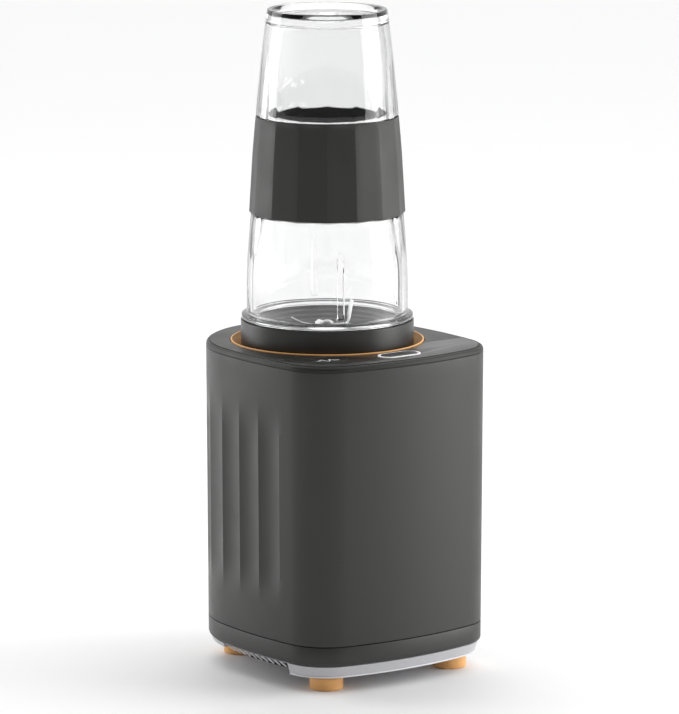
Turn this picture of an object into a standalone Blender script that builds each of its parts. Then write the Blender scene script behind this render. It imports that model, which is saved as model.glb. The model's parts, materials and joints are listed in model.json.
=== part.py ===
"""A personal countertop blender: a fluted motor base, a blade unit that drops into its well,
and an upturned blending cup with a faceted grip sleeve.

Metres, +Z up. The origin is on the table under the middle of the base. The front, with the
control panel, faces -Y. Numbers below are millimetres until they are multiplied by MM, and
heights are from a plane LIFT above the table.
"""

import math

import bmesh
import bpy
from mathutils import Matrix, Vector

MM = 0.001
GAP = 0.3  # between pieces that touch
LIFT = 1.2  # added to every height on the way to the scene

# ---- driving dimensions -------------------------------------------------------------------
AXIS_Y = 5.0  # the cup and motor axis lies behind the middle of the base
RING_TOP = 168.0  # the accent ring's lip, the level that the upper parts are measured from
DECK_TOP = 167.4
RIM_BOTTOM = 164.3  # the deck's rim meets the housing here
SKIRT_TOP = 23.2
SKIRT_BOTTOM = 13.1
TRAY_BOTTOM = 6.6
DRAFT = 0.7  # how much each side narrows from the deck to the skirt

HALF_WIDTH = 61.6  # at the widest point of the sides
FRONT_Y = -74.0  # the front's foremost point, from the cup axis
FRONT_R = 185.0
CORNER_R = 25.5
SIDE_R = 250.0
SIDE_Y = -18.0  # where the sides are widest, from the cup axis
BACK_Y = 3.6  # centre of the round back, from the cup axis

FLUTE_COUNT = 7  # on each side
FLUTE_PITCH = 16.6
FLUTE_START_Y = -39.5  # the front ridge, from the cup axis
FLUTE_DEPTH = 1.3
HOUSING_WALL = 2.4

RING_R = 49.8
WELL_R = 45.1
WELL_FLOOR = 150.5
COLLAR_R = 44.5
COLLAR_TOP = RING_TOP + 10.5
SLEEVE_BOTTOM = RING_TOP + 65.4
SLEEVE_TOP = RING_TOP + 115.2
SLEEVE_BOTTOM_R = 40.2
SLEEVE_TOP_R = 36.7
FACETS = 16
FACET_TURN = math.radians(-127.2)  # one facet edge points to the front-left corner

SHAFT_R = 4.0
BOLT_X = 39.5  # the motor's through-bolts, from the axis
ARMATURE_SLOTS = 8

POWER_XY = (1.3, -58.6)  # from the cup axis
POWER_SIZE = (24.6, 11.6)
PULSE_XY = (-36.2, -49.8)
PULSE_SIZE = (21.0, 12.0)
PULSE_TURN = math.radians(-14)
LIGHT_RING_WIDTH = 1.3
PANEL_BACK_Y = -38.5
PANEL_INSET = 2.6

FOOT_R = 8.6
FOOT_XY = ((-39.8, -51.8), (39.8, -51.8), (-27.5, 39.0), (27.5, 39.0))
SCREW_XY = ((-25.0, -62.9), (25.0, -62.9), (-47.7, 21.5), (47.7, 21.5))
SCREW_SEATS = (10.3, 10.3, 15.0, 15.0)  # the screw heads bear here, up inside the tray
ARCH_FRONT_Y = -43.3  # the tray is hollowed underneath from here to the back
ARCH_TOP = 12.3
ARCH_INSET = 23.0  # how far in from the outline the hollow reaches
BAR_Y = [ARCH_FRONT_Y + 4.95 * (k + 1) for k in range(10)]  # bars across the hollow's sides
BAR_WIDTH = 1.6
DAMPER_ANGLES = (135, 225, 315)
DAMPER_R = 37.0
PLUNGER_R = 40.5
PLUNGER_ANGLE = 45

ROUND = 28  # steps round a large turned piece
SMALL_ROUND = 12
OFF_TURN = math.radians(3.7)


# ---- scene and material helpers -------------------------------------------------------------
def clear_scene():
    for old in list(bpy.data.objects):
        bpy.data.objects.remove(old)


def collection(name):
    made = bpy.data.collections.new(name)
    bpy.context.scene.collection.children.link(made)
    return made


def material(name, colour, roughness, metallic=0.0, alpha=1.0):
    made = bpy.data.materials.new(name)
    made.use_nodes = True
    shader = made.node_tree.nodes["Principled BSDF"]
    shader.inputs["Base Color"].default_value = (*colour, 1.0)
    shader.inputs["Roughness"].default_value = roughness
    shader.inputs["Metallic"].default_value = metallic
    shader.inputs["Alpha"].default_value = alpha
    return made


clear_scene()
PARTS = collection("countertop_blender")
CUTTERS = collection("cutters")

CHARCOAL = material("charcoal_plastic", (0.085, 0.083, 0.08), 0.5)
DECK_GREY = material("deck_plastic", (0.07, 0.07, 0.068), 0.4)
PANEL_BLACK = material("panel_gloss", (0.05, 0.05, 0.05), 0.15)
PEACH = material("peach_plastic", (0.75, 0.38, 0.16), 0.4)
FOOT_PEACH = material("peach_rubber", (0.72, 0.36, 0.15), 0.7)
PALE_GREY = material("pale_grey_plastic", (0.62, 0.62, 0.66), 0.45)
COLLAR_GREY = material("collar_plastic", (0.06, 0.06, 0.058), 0.4)
SLEEVE_GREY = material("sleeve_rubber", (0.06, 0.058, 0.055), 0.6)
CLEAR = material("clear_cup", (0.95, 0.96, 0.97), 0.03, alpha=0.25)
SEAL_WHITE = material("silicone", (0.8, 0.8, 0.8), 0.6)
STEEL = material("steel", (0.62, 0.62, 0.63), 0.25, 1.0)
IRON = material("laminations", (0.25, 0.25, 0.26), 0.45, 1.0)
COPPER = material("enamelled_wire", (0.6, 0.25, 0.1), 0.35, 1.0)
BRASS = material("brass", (0.7, 0.52, 0.22), 0.3, 1.0)
CARBON = material("carbon", (0.03, 0.03, 0.03), 0.7)
BOARD_GREEN = material("circuit_board", (0.03, 0.14, 0.06), 0.5)
RUBBER_BLACK = material("black_rubber", (0.02, 0.02, 0.02), 0.8)
LIGHT_WHITE = material("light_guide", (0.9, 0.9, 0.9), 0.3)
FAN_NYLON = material("fan_nylon", (0.1, 0.1, 0.11), 0.5)


# ---- shape helpers ----------------------------------------------------------------------------
def add_object(name, mesh, skin, where, x=0.0, y=0.0, z=0.0):
    made = bpy.data.objects.new(name, mesh)
    made.location = (x * MM, (y + AXIS_Y) * MM, (z + LIFT) * MM)
    if skin:
        mesh.materials.append(skin)
    where.objects.link(made)
    return made


def mesh_from(name, bm, smooth=True):
    bmesh.ops.recalc_face_normals(bm, faces=bm.faces[:])
    mesh = bpy.data.meshes.new(name)
    bm.to_mesh(mesh)
    bm.free()
    if smooth:
        mesh.shade_smooth()
        mesh.set_sharp_from_angle(angle=math.radians(35))
    return mesh


def turned(name, profile, skin, x=0.0, y=0.0, steps=ROUND, where=None, turn=None):
    """A turned piece. Its profile is (radius, height) pairs down the outer side; one that
    doesn't start and end on the axis is closed into a ring."""
    bm = bmesh.new()
    verts = [bm.verts.new((r * MM, 0.0, z * MM)) for r, z in profile]
    for a, b in zip(verts, verts[1:]):
        bm.edges.new((a, b))
    if profile[0][0] > 0.0:
        bm.edges.new((verts[-1], verts[0]))
    mesh = bpy.data.meshes.new(name)
    bm.to_mesh(mesh)
    bm.free()
    made = add_object(name, mesh, skin, where or PARTS, x, y)
    screw = made.modifiers.new("Screw", "SCREW")
    screw.steps = steps
    screw.render_steps = steps
    screw.use_merge_vertices = True
    screw.merge_threshold = 0.00001
    screw.use_smooth_shade = True
    if turn:
        made.rotation_euler = turn
    return made


def loft(name, rings, skin, where=None, closed=False, x=0.0, y=0.0):
    """Faces from each ring of (x, y, z) points to the next, with caps or closed on itself."""
    bm = bmesh.new()
    rows = [[bm.verts.new((px * MM, py * MM, pz * MM)) for px, py, pz in ring] for ring in rings]
    count = len(rows[0])
    pairs = list(zip(rows, rows[1:]))
    if closed:
        pairs.append((rows[-1], rows[0]))
    for low, high in pairs:
        for i in range(count):
            j = (i + 1) % count
            bm.faces.new((low[i], low[j], high[j], high[i]))
    if not closed:
        bm.faces.new(rows[0])
        bm.faces.new(rows[-1])
    return add_object(name, mesh_from(name, bm), skin, where or PARTS, x, y)


def prism(name, outline, low, high, skin=None, where=None):
    """A flat outline, from one height to another."""
    rings = [[(px, py, pz) for px, py in outline] for pz in (low, high)]
    return loft(name, rings, skin, where)


def box(name, centre, size, skin=None, where=None, turn=0.0):
    bm = bmesh.new()
    bmesh.ops.create_cube(bm, size=1.0)
    bmesh.ops.scale(bm, vec=Vector(size) * MM, verts=bm.verts[:])
    bmesh.ops.rotate(bm, matrix=Matrix.Rotation(turn, 3, "Z"), verts=bm.verts[:])
    mesh = mesh_from(name, bm, smooth=False)
    return add_object(name, mesh, skin, where or PARTS, *centre)


def rod(name, radius, low, high, x=0.0, y=0.0, skin=None, where=None, steps=SMALL_ROUND):
    """An upright cylinder, turned a little so that its edges miss those of what it cuts."""
    bm = bmesh.new()
    bmesh.ops.create_cone(
        bm, cap_ends=True, segments=steps, radius1=radius * MM, radius2=radius * MM,
        depth=(high - low) * MM,
    )
    bmesh.ops.rotate(bm, matrix=Matrix.Rotation(OFF_TURN, 3, "Z"), verts=bm.verts[:])
    bmesh.ops.translate(bm, vec=(0, 0, (low + high) / 2 * MM), verts=bm.verts[:])
    return add_object(name, mesh_from(name, bm), skin, where or PARTS, x, y)


def lying_rod(name, radius, length, centre, axis, steps=SMALL_ROUND):
    """A hidden helper cylinder along X or Y."""
    bm = bmesh.new()
    bmesh.ops.create_cone(
        bm, cap_ends=True, segments=steps, radius1=radius * MM, radius2=radius * MM,
        depth=length * MM,
    )
    turn = Matrix.Rotation(math.pi / 2, 3, "Y" if axis == "X" else "X")
    bmesh.ops.rotate(bm, matrix=turn, verts=bm.verts[:])
    return add_object(name, mesh_from(name, bm), None, CUTTERS, *centre)


def boolean(target, other, operation):
    """Cuts a helper from a piece, or joins it to the piece."""
    if other.name not in CUTTERS.objects:
        PARTS.objects.unlink(other)
        CUTTERS.objects.link(other)
    other.hide_render = True
    other.display_type = "WIRE"
    step = target.modifiers.new(operation.title() + " " + other.name, "BOOLEAN")
    step.operation = operation
    step.solver = "EXACT"
    step.object = other
    return target


def cut(target, other):
    return boolean(target, other, "DIFFERENCE")


def join(target, other):
    return boolean(target, other, "UNION")


def arc(centre, radius, start, end, count):
    """Points on an arc, with angles in radians, both ends included."""
    step = (end - start) / (count - 1)
    angles = [start + i * step for i in range(count)]
    return [(centre[0] + radius * math.cos(a), centre[1] + radius * math.sin(a)) for a in angles]


def pill(size, at=(0.0, 0.0), turn=0.0, grow=0.0, count=9):
    """A slot-shaped outline: a straight middle with round ends."""
    radius = size[1] / 2 + grow
    reach = (size[0] - size[1]) / 2
    right = arc((reach, 0.0), radius, -math.pi / 2, math.pi / 2, count)
    left = arc((-reach, 0.0), radius, math.pi / 2, 3 * math.pi / 2, count)
    c, s = math.cos(turn), math.sin(turn)
    return [(at[0] + px * c - py * s, at[1] + px * s + py * c) for px, py in right + left]


def polar(radius, degrees):
    a = math.radians(degrees)
    return radius * math.cos(a), radius * math.sin(a)


# ---- the base's plan outline ------------------------------------------------------------------
# Four tangent arcs make each half: the bowed front, the front corner, the side and the back.
FRONT_CENTRE = Vector((0.0, FRONT_Y + FRONT_R))
SIDE_CENTRE = Vector((SIDE_R - HALF_WIDTH, SIDE_Y))
BACK_CENTRE = Vector((0.0, BACK_Y))
BACK_R = SIDE_R - (SIDE_CENTRE - BACK_CENTRE).length


def corner_centre():
    """The point that lies a corner radius inside both the front's arc and the side's."""
    r1 = FRONT_R - CORNER_R
    r2 = SIDE_R - CORNER_R
    between = SIDE_CENTRE - FRONT_CENTRE
    d = between.length
    along = (r1 * r1 - r2 * r2 + d * d) / (2 * d)
    off = math.sqrt(r1 * r1 - along * along)
    unit = between / d
    return FRONT_CENTRE + unit * along + Vector((unit.y, -unit.x)) * off


CORNER_CENTRE = corner_centre()


def heading(vector):
    return math.atan2(vector.y, vector.x) % (2 * math.pi)


FRONT_ANGLE = heading(CORNER_CENTRE - FRONT_CENTRE)
CORNER_ANGLE = heading(CORNER_CENTRE - SIDE_CENTRE)
BACK_ANGLE = heading(BACK_CENTRE - SIDE_CENTRE)
# (centre, radius, start angle, end angle), clockwise from the front's middle round the left side
LEFT_ARCS = (
    (FRONT_CENTRE, FRONT_R, 1.5 * math.pi, FRONT_ANGLE),
    (CORNER_CENTRE, CORNER_R, FRONT_ANGLE, CORNER_ANGLE),
    (SIDE_CENTRE, SIDE_R, CORNER_ANGLE, BACK_ANGLE),
    (BACK_CENTRE, BACK_R, BACK_ANGLE, 0.5 * math.pi),
)
ARC_LENGTHS = [radius * (start - end) for _, radius, start, end in LEFT_ARCS]


def outline_at(distance):
    """(point, outward normal) at this distance along the left half from the front's middle."""
    for (centre, radius, start, _), length in zip(LEFT_ARCS, ARC_LENGTHS):
        if distance <= length + 1e-6:
            break
        distance -= length
    angle = start - distance / radius
    normal = Vector((math.cos(angle), math.sin(angle)))
    return centre + normal * radius, normal


def spread(start, end, count):
    return [start + (end - start) * i / count for i in range(count)]


def left_stations(front, corner, rear, per_flute):
    """(distance, flute depth from 0 to 1) along the left half, ends included."""
    to_corner = ARC_LENGTHS[0]
    to_side = to_corner + ARC_LENGTHS[1]
    turn = math.asin((FLUTE_START_Y - SIDE_Y) / SIDE_R) - math.asin(
        (CORNER_CENTRE.y - SIDE_Y) / (SIDE_R - CORNER_R)
    )
    first = to_side + turn * SIDE_R
    last = first + FLUTE_COUNT * FLUTE_PITCH
    stations = [(d, 0.0) for d in spread(0.0, to_corner, front)]
    stations += [(d, 0.0) for d in spread(to_corner, to_side, corner)]
    stations.append((to_side, 0.0))
    for k in range(FLUTE_COUNT * per_flute):
        t = (k % per_flute) / per_flute
        stations.append((first + k * FLUTE_PITCH / per_flute, 1.0 - (2 * t - 1) ** 2))
    stations += [(d, 0.0) for d in spread(last, sum(ARC_LENGTHS), rear)]
    stations.append((sum(ARC_LENGTHS), 0.0))
    return stations


def plan(inset=0.0, flute=0.0, front=5, corner=6, rear=4, per_flute=3):
    """The whole outline, anticlockwise from the front's middle, moved in by inset, with the
    flutes cut to this depth."""
    left = []
    for distance, depth in left_stations(front, corner, rear, per_flute):
        point, normal = outline_at(distance)
        left.append(point - normal * (inset + flute * depth))
    right = [(-p.x, p.y) for p in left[1:-1]]
    return right + [(p.x, p.y) for p in reversed(left)]


def draft_at(z):
    return DRAFT * (DECK_TOP - z) / (DECK_TOP - SKIRT_TOP)


def plan_ring(z, inset=0.0, flute=0.0, **detail):
    return [(px, py, z) for px, py in plan(inset + draft_at(z), flute, **detail)]


PLAIN = {"per_flute": 1}


def front_of(outline, limit):
    """The stretch of an outline in front of a line at this Y, cut square at the line."""
    kept = []
    for (ax, ay), (bx, by) in zip(outline, outline[1:] + outline[:1]):
        if ay <= limit:
            kept.append((ax, ay))
        if (ay < limit) != (by < limit):
            t = (limit - ay) / (by - ay)
            kept.append((ax + t * (bx - ax), limit))
    return kept


# ---- base: casings ------------------------------------------------------------------------------
def base_housing():
    inner = HOUSING_WALL + FLUTE_DEPTH
    low, high = SKIRT_TOP + 0.15, RIM_BOTTOM - GAP
    levels = ((low, 0), (42, 0), (60, 1), (124, 1), (146, 0), (high, 0))
    rings = [plan_ring(z, 0.0, FLUTE_DEPTH * deep) for z, deep in levels]
    rings += [plan_ring(high, inner), plan_ring(low, inner)]
    housing = loft("base_housing", rings, CHARCOAL, closed=True)
    for i, (x, y) in enumerate(SCREW_XY):
        join(housing, rod(f"housing_boss_{i}", 6.0, low + 0.4, 60.0, x, y, steps=8))
        cut(housing, rod(f"pilot_hole_{i}", 2.1, low - 2.0, 52.0, x, y, where=CUTTERS, steps=8))
    cut(housing, lying_rod("cord_hole", 6.1, 20.0, (0.0, BACK_Y + BACK_R, 34.0), "Y"))
    return housing


def base_skirt():
    low, high = SKIRT_BOTTOM, SKIRT_TOP - 0.15
    outer = [plan_ring(z, i, **PLAIN) for z, i in ((low, 0.5), (low + 0.6, 0.05), (high, 0.0))]
    inner = [plan_ring(z, 2.4, **PLAIN) for z in (high, low)]
    return loft("base_skirt", outer + inner, CHARCOAL, closed=True)


def rear_of(name, outline, limit, low, high, where=None):
    """The part of an outline behind this limit, as a solid."""
    made = prism(name, outline, low, high, where=where)
    return cut(made, box(name + "_front", (0.0, limit - 50.0, 10.0), (200, 100, 60), where=CUTTERS))


def bottom_tray():
    """A shallow tray under the base, solid in front and arched behind, with air bars at its sides."""
    floor = TRAY_BOTTOM + 2.2
    shape = (
        (TRAY_BOTTOM, 3.9), (TRAY_BOTTOM + 0.7, 3.2), (SKIRT_BOTTOM - GAP, 0.9),
        (SKIRT_BOTTOM - GAP, 2.8), (20.0, 2.8), (20.0, 4.6), (floor, 5.6),
    )
    tray = loft("bottom_tray", [plan_ring(z, i, **PLAIN) for z, i in shape], PALE_GREY)
    shell = plan(3.4, **PLAIN)
    ceiling = rear_of("arch_ceiling", shell, ARCH_FRONT_Y - 1.6, floor - 1.0, ARCH_TOP + 1.7)
    core = plan(ARCH_INSET + 1.5, **PLAIN)
    cut(ceiling, prism("ceiling_core", core, floor - 3.0, 20.0, where=CUTTERS))
    join(tray, ceiling)
    beyond = plan(-4.0, **PLAIN)
    arch = rear_of("arch", beyond, ARCH_FRONT_Y, TRAY_BOTTOM - 3.0, ARCH_TOP, where=CUTTERS)
    cut(arch, prism("arch_core", plan(ARCH_INSET, **PLAIN), 0.0, 20.0, where=CUTTERS))
    cut(tray, arch)
    for i, y in enumerate(BAR_Y):
        for side in (-1, 1):
            join(tray, air_bar(f"air_bar_{i}_{side}", side, y))
    below = TRAY_BOTTOM - 2
    for i, (x, y) in enumerate(FOOT_XY):
        if y > ARCH_FRONT_Y:
            join(tray, rod(f"foot_boss_{i}", 8.8, TRAY_BOTTOM, 13.0, x, y))
        cut(tray, rod(f"tray_foot_hole_{i}", 2.8, below, floor + 2, x, y, where=CUTTERS, steps=8))
    for i, ((x, y), seat) in enumerate(zip(SCREW_XY, SCREW_SEATS)):
        join(tray, rod(f"screw_seat_{i}", 5.2, seat - 2.3, seat + 2.7, x, y, steps=8))
        cut(tray, rod(f"screw_recess_{i}", 3.9, below, seat, x, y, where=CUTTERS, steps=8))
        cut(tray, rod(f"screw_hole_{i}", 2.1, below, seat + 5.0, x, y, where=CUTTERS, steps=8))
    for i in range(5):
        slot = box(f"floor_slot_{i}", (0.0, -16.0 + 8 * i, floor - 1), (44, 3, 8), where=CUTTERS)
        cut(tray, slot)
    return tray


def air_bar(name, side, y):
    """A bar that slopes in under the skirt, across the arch's open side."""
    edge = math.sqrt(SIDE_R ** 2 - (y - SIDE_Y) ** 2) - (SIDE_R - HALF_WIDTH)
    high = SKIRT_BOTTOM - GAP
    corners = ((edge - 1.0, high), (edge - 6.0, 9.9), (edge - 7.6, 9.9), (edge - 7.6, high))
    rings = [[(side * x, at, z) for x, z in corners]
             for at in (y - BAR_WIDTH / 2, y + BAR_WIDTH / 2)]
    return loft(name, rings, None)


def foot(name, x, y):
    top, shoulder = TRAY_BOTTOM + 3.4, TRAY_BOTTOM - GAP
    profile = (
        (0.0, top), (2.4, top), (2.4, shoulder), (FOOT_R, shoulder), (FOOT_R, 0.9 - LIFT),
        (FOOT_R - 0.6, -LIFT), (0.0, -LIFT),
    )
    return turned(name, profile, FOOT_PEACH, x, y, steps=16)


def housing_screw(name, x, y, seat):
    head = seat - GAP
    profile = (
        (0.0, 46.0), (1.7, 44.5), (1.7, head), (3.4, head), (3.4, head - 1.8), (0.0, head - 2.2),
    )
    return turned(name, profile, STEEL, x, y, steps=SMALL_ROUND)


def top_deck():
    """The deck plate, its rounded rim and a flange that drops inside the housing."""
    shape = (
        (DECK_TOP, 2.1), (DECK_TOP - 0.5, 1.6), (DECK_TOP - 1.4, 0.5), (RIM_BOTTOM, 0.0),
        (RIM_BOTTOM, 4.2), (160.6, 4.2), (160.6, 6.0), (163.9, 6.0),
    )
    deck = loft("top_deck", [plan_ring(z, i, **PLAIN) for z, i in shape], DECK_GREY)
    recess = front_of(plan(PANEL_INSET - GAP, **PLAIN), PANEL_BACK_Y + GAP)
    cut(deck, prism("panel_recess", recess, 165.0, 175.0, where=CUTTERS))
    cut(deck, rod("ring_hole", RING_R + GAP, 155.0, 175.0, where=CUTTERS, steps=ROUND))
    power = pill(POWER_SIZE, POWER_XY, grow=GAP)
    cut(deck, prism("deck_power_hole", power, 155.0, 175.0, where=CUTTERS))
    pulse = pill(PULSE_SIZE, PULSE_XY, PULSE_TURN, grow=GAP)
    cut(deck, prism("deck_pulse_hole", pulse, 155.0, 175.0, where=CUTTERS))
    return deck


def control_panel():
    outline = front_of(plan(PANEL_INSET, **PLAIN), PANEL_BACK_Y)
    panel = prism("control_panel", outline, 165.3, DECK_TOP, PANEL_BLACK)
    cut(panel, rod("panel_ring_cut", RING_R + GAP, 155.0, 175.0, where=CUTTERS, steps=ROUND))
    power = pill(POWER_SIZE, POWER_XY, grow=GAP)
    cut(panel, prism("panel_power_hole", power, 155.0, 175.0, where=CUTTERS))
    pulse = pill(PULSE_SIZE, PULSE_XY, PULSE_TURN, grow=GAP)
    cut(panel, prism("panel_pulse_hole", pulse, 155.0, 175.0, where=CUTTERS))
    return panel


def accent_ring():
    profile = (
        (48.9, RING_TOP), (RING_R, RING_TOP - 0.4), (RING_R, 160.6), (45.3, 160.6),
        (45.3, 161.4), (48.1, RING_TOP - 0.6),
    )
    return turned("accent_ring", profile, PEACH, steps=ROUND)


def coupling_well():
    """The round well in the deck that the blade unit drops into."""
    under = WELL_FLOOR - 2.2
    profile = (
        (52.5, 163.6), (52.5, 158.3), (47.3, 158.3), (47.3, under), (7.0, under),
        (7.0, WELL_FLOOR), (WELL_R, WELL_FLOOR), (WELL_R, 160.3), (51.0, 160.3), (51.0, 163.6),
    )
    well = turned("coupling_well", profile, DECK_GREY, steps=ROUND)
    for angle in DAMPER_ANGLES:
        x, y = polar(DAMPER_R, angle)
        cut(well, rod(f"well_boss_hole_{angle}", 2.3, under - 2, WELL_FLOOR + 2, x, y, where=CUTTERS))
    x, y = polar(PLUNGER_R, PLUNGER_ANGLE)
    cut(well, rod("plunger_hole", 2.8, under - 2, WELL_FLOOR + 2, x, y, where=CUTTERS))
    return well


# ---- base: controls -----------------------------------------------------------------------------
def power_light_ring():
    outer = pill(POWER_SIZE, POWER_XY)
    inner = pill(POWER_SIZE, POWER_XY, grow=-LIGHT_RING_WIDTH)
    low, high = 164.2, DECK_TOP + 0.3
    levels = ((outer, low), (outer, high), (inner, high), (inner, low))
    rings = [[(x, y, z) for x, y in line] for line, z in levels]
    return loft("power_light_ring", rings, LIGHT_WHITE, closed=True)


def button(name, size, at, turn, top, skin):
    """A slot-shaped key with a stem over its switch. Its origin is on the stem's axis."""
    local = pill(size, grow=-GAP, turn=turn)
    rings = [[(x, y, z) for x, y in local] for z in (163.0, top - 0.3)]
    crown = pill(size, grow=-GAP - 0.4, turn=turn)
    rings.append([(x, y, top) for x, y in crown])
    made = loft(name, rings, skin, x=at[0], y=at[1])
    return join(made, rod(name + "_stem", 2.6, 157.4, 164.0, *at))


def power_button():
    length, width = POWER_SIZE
    size = (length - 2 * LIGHT_RING_WIDTH, width - 2 * LIGHT_RING_WIDTH)
    return button("power_button", size, POWER_XY, 0.0, DECK_TOP + 0.1, PANEL_BLACK)


def pulse_button():
    return button("pulse_button", PULSE_SIZE, PULSE_XY, PULSE_TURN, DECK_TOP + 0.05, PANEL_BLACK)


def button_board():
    """The board under the keys, with a push switch below each stem."""
    outline = ((-46, -61), (16, -66), (16, -50.5), (-14, -50.5), (-32, -44), (-46, -42))
    board = prism("button_board", outline, 150.6, 152.2, BOARD_GREEN)
    for name, (x, y) in (("power_switch", POWER_XY), ("pulse_switch", PULSE_XY)):
        join(board, box(name + "_body", (x, y, 153.4), (6.2, 6.2, 3.4)))
        join(board, rod(name + "_tip", 1.7, 154.6, 156.2, x, y))
    return board


def power_board():
    """The upright supply board behind the front wall, with a capacitor and a heat sink."""
    board = box("power_board", (0.0, -50.0, 74.0), (66.0, 1.6, 62.0), BOARD_GREEN)
    join(board, box("board_capacitor", (-17.0, -55.0, 84.0), (22.0, 10.0, 18.0)))
    join(board, box("board_relay", (16.0, -54.6, 88.0), (16.0, 9.2, 19.0)))
    join(board, box("board_heat_sink", (2.0, -54.0, 56.0), (30.0, 8.0, 16.0)))
    return board


def cord_bushing():
    """The flush bush in the rear wall where the supply cord enters."""
    profile = ((5.8, 0.0), (5.8, 5.0), (8.5, 5.0), (8.5, 8.0), (3.3, 8.0), (3.3, 0.0))
    made = turned("cord_bushing", profile[::-1], RUBBER_BLACK, steps=SMALL_ROUND)
    made.rotation_euler = (math.pi / 2, 0.0, 0.0)
    made.location = (0.0, (AXIS_Y + BACK_Y + BACK_R - 1.2) * MM, (34.0 + LIFT) * MM)
    return made


def interlock_plunger():
    x, y = polar(PLUNGER_R, PLUNGER_ANGLE)
    profile = (
        (0.0, 150.9), (2.5, 150.5), (2.5, 145.0), (4.2, 145.0), (4.2, 143.6), (2.0, 143.6),
        (2.0, 141.6), (0.0, 141.6),
    )
    return turned("interlock_plunger", profile, PALE_GREY, x, y, steps=SMALL_ROUND)


def interlock_switch():
    x, y = polar(PLUNGER_R + 1.5, PLUNGER_ANGLE)
    turn = math.radians(PLUNGER_ANGLE + 90)
    return box("interlock_switch", (x, y, 134.6), (19.8, 6.4, 10.2), CARBON, turn=turn)


# ---- base: motor --------------------------------------------------------------------------------
def bracket(name, profile, bar, legs):
    """A motor end bracket: a turned bearing seat, a bar across it and two legs with bolt holes."""
    made = turned(name, profile, IRON, steps=SMALL_ROUND)
    for side, sign in (("left", -1), ("right", 1)):
        middle = (bar[0] + bar[1]) / 2
        arm = box(f"{name}_{side}_arm", (sign * 29.5, 0.0, middle), (31.0, 13.0, bar[1] - bar[0]))
        join(made, arm)
        leg_mid = (legs[0] + legs[1]) / 2
        size = (9.0, 9.4, legs[1] - legs[0])
        join(made, box(f"{name}_{side}_leg", (sign * BOLT_X, 0.0, leg_mid), size))
        hole = rod(f"{name}_{side}_hole", 2.3, 40.0, 145.0, sign * BOLT_X, 0.0, where=CUTTERS)
        cut(made, hole)
    return made


def upper_motor_bracket():
    profile = (
        (23.0, 137.0), (23.0, 134.0), (14.5, 134.0), (14.5, 130.2), (11.2, 130.2),
        (11.2, 137.3), (5.5, 137.3), (5.5, 138.6), (14.5, 138.6), (14.5, 137.0),
    )
    made = bracket("upper_motor_bracket", profile, (134.1, 136.9), (126.4, 135.0))
    for angle in DAMPER_ANGLES:
        x, y = polar(29.0, angle)
        arm = box(f"damper_arm_{angle}", (x, y, 135.5), (28.0, 11.0, 2.6), turn=math.radians(angle))
        join(made, arm)
        hx, hy = polar(DAMPER_R, angle)
        cut(made, rod(f"damper_hole_{angle}", 2.3, 130.0, 142.0, hx, hy, where=CUTTERS))
    return made


def lower_motor_bracket():
    profile = (
        (23.0, 61.0), (23.0, 58.0), (14.5, 58.0), (14.5, 52.6), (11.2, 52.6),
        (11.2, 59.8), (5.5, 59.8), (5.5, 61.0),
    )
    made = bracket("lower_motor_bracket", profile, (58.1, 60.9), (60.0, 91.7))
    return made


def bearing(name, low):
    high = low + 7.0
    profile = (
        (10.5, high), (11.0, high - 0.5), (11.0, low + 0.5), (10.5, low), (4.2, low), (4.2, high),
    )
    return turned(name, profile, STEEL, steps=SMALL_ROUND)


def stator_core():
    """The ring of laminations with two pole shoes and two bolt ears."""
    low, high = 92.0, 126.0
    ring = ((36.0, high), (36.0, low), (31.5, low), (31.5, high))
    core = turned("stator_core", ring, IRON, steps=24)
    for side, sign in (("left", -1), ("right", 1)):
        ear = box(f"stator_{side}_ear", (sign * 39.0, 0.0, 109.0), (9.6, 9.4, high - low))
        join(core, ear)
        cut(core, rod(f"stator_{side}_hole", 2.3, 80.0, 140.0, sign * BOLT_X, 0.0, where=CUTTERS))
    for side, sign in (("front", -1), ("rear", 1)):
        middle = sign * math.pi / 2
        reach = math.radians(52)
        inner = arc((0, 0), 17.6, middle - reach, middle + reach, 11)
        outer = arc((0, 0), 22.0, middle + reach, middle - reach, 11)
        join(core, prism(f"{side}_pole_shoe", inner + outer, low, high))
        join(core, box(f"{side}_pole_neck", (0.0, sign * 26.8, 109.0), (15.0, 11.4, high - low)))
    return core


def field_coil(name, sign):
    """A rectangular winding round the neck of a pole."""
    def frame(half_x, half_z, y):
        corners = ((-1, -1), (1, -1), (1, 1), (-1, 1))
        return [(sx * half_x, y, 109.0 + sz * half_z) for sx, sz in corners]

    near, far = sign * 22.6, sign * 26.6
    rings = [frame(15.0, 24.0, near), frame(15.0, 24.0, far)]
    rings += [frame(7.9, 17.4, far), frame(7.9, 17.4, near)]
    return loft(name, rings, COPPER, closed=True)


def motor_bolt(name, x):
    profile = (
        (0.0, 141.6), (1.9, 141.6), (1.9, 139.6), (3.6, 139.6), (3.6, 137.3), (1.9, 137.3),
        (1.9, 57.7), (3.6, 57.7), (3.6, 55.0), (0.0, 55.0),
    )
    return turned(name, profile, STEEL, x, 0.0, steps=SMALL_ROUND)


def motor_damper(name, angle):
    x, y = polar(DAMPER_R, angle)
    profile = (
        (6.0, 148.0), (6.0, 144.6), (4.8, 143.8), (4.8, 141.4), (6.0, 140.6), (6.0, 137.3),
        (2.2, 137.3), (2.2, 148.0),
    )
    return turned(name, profile, RUBBER_BLACK, x, y, steps=SMALL_ROUND)


def brush_holder(name, sign):
    made = box(name, (sign * 22.5, 0.0, 76.5), (17.0, 9.0, 11.0), BRASS)
    cut(made, box(name + "_bore", (sign * 22.5, 0.0, 76.5), (20.0, 6.6, 8.6), where=CUTTERS))
    return join(made, box(name + "_post", (sign * 25.0, 0.0, 66.3), (7.0, 7.0, 10.2)))


def brush(name, sign):
    return box(name, (sign * 16.6, 0.0, 76.5), (10.6, 6.0, 8.0), CARBON)


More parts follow.
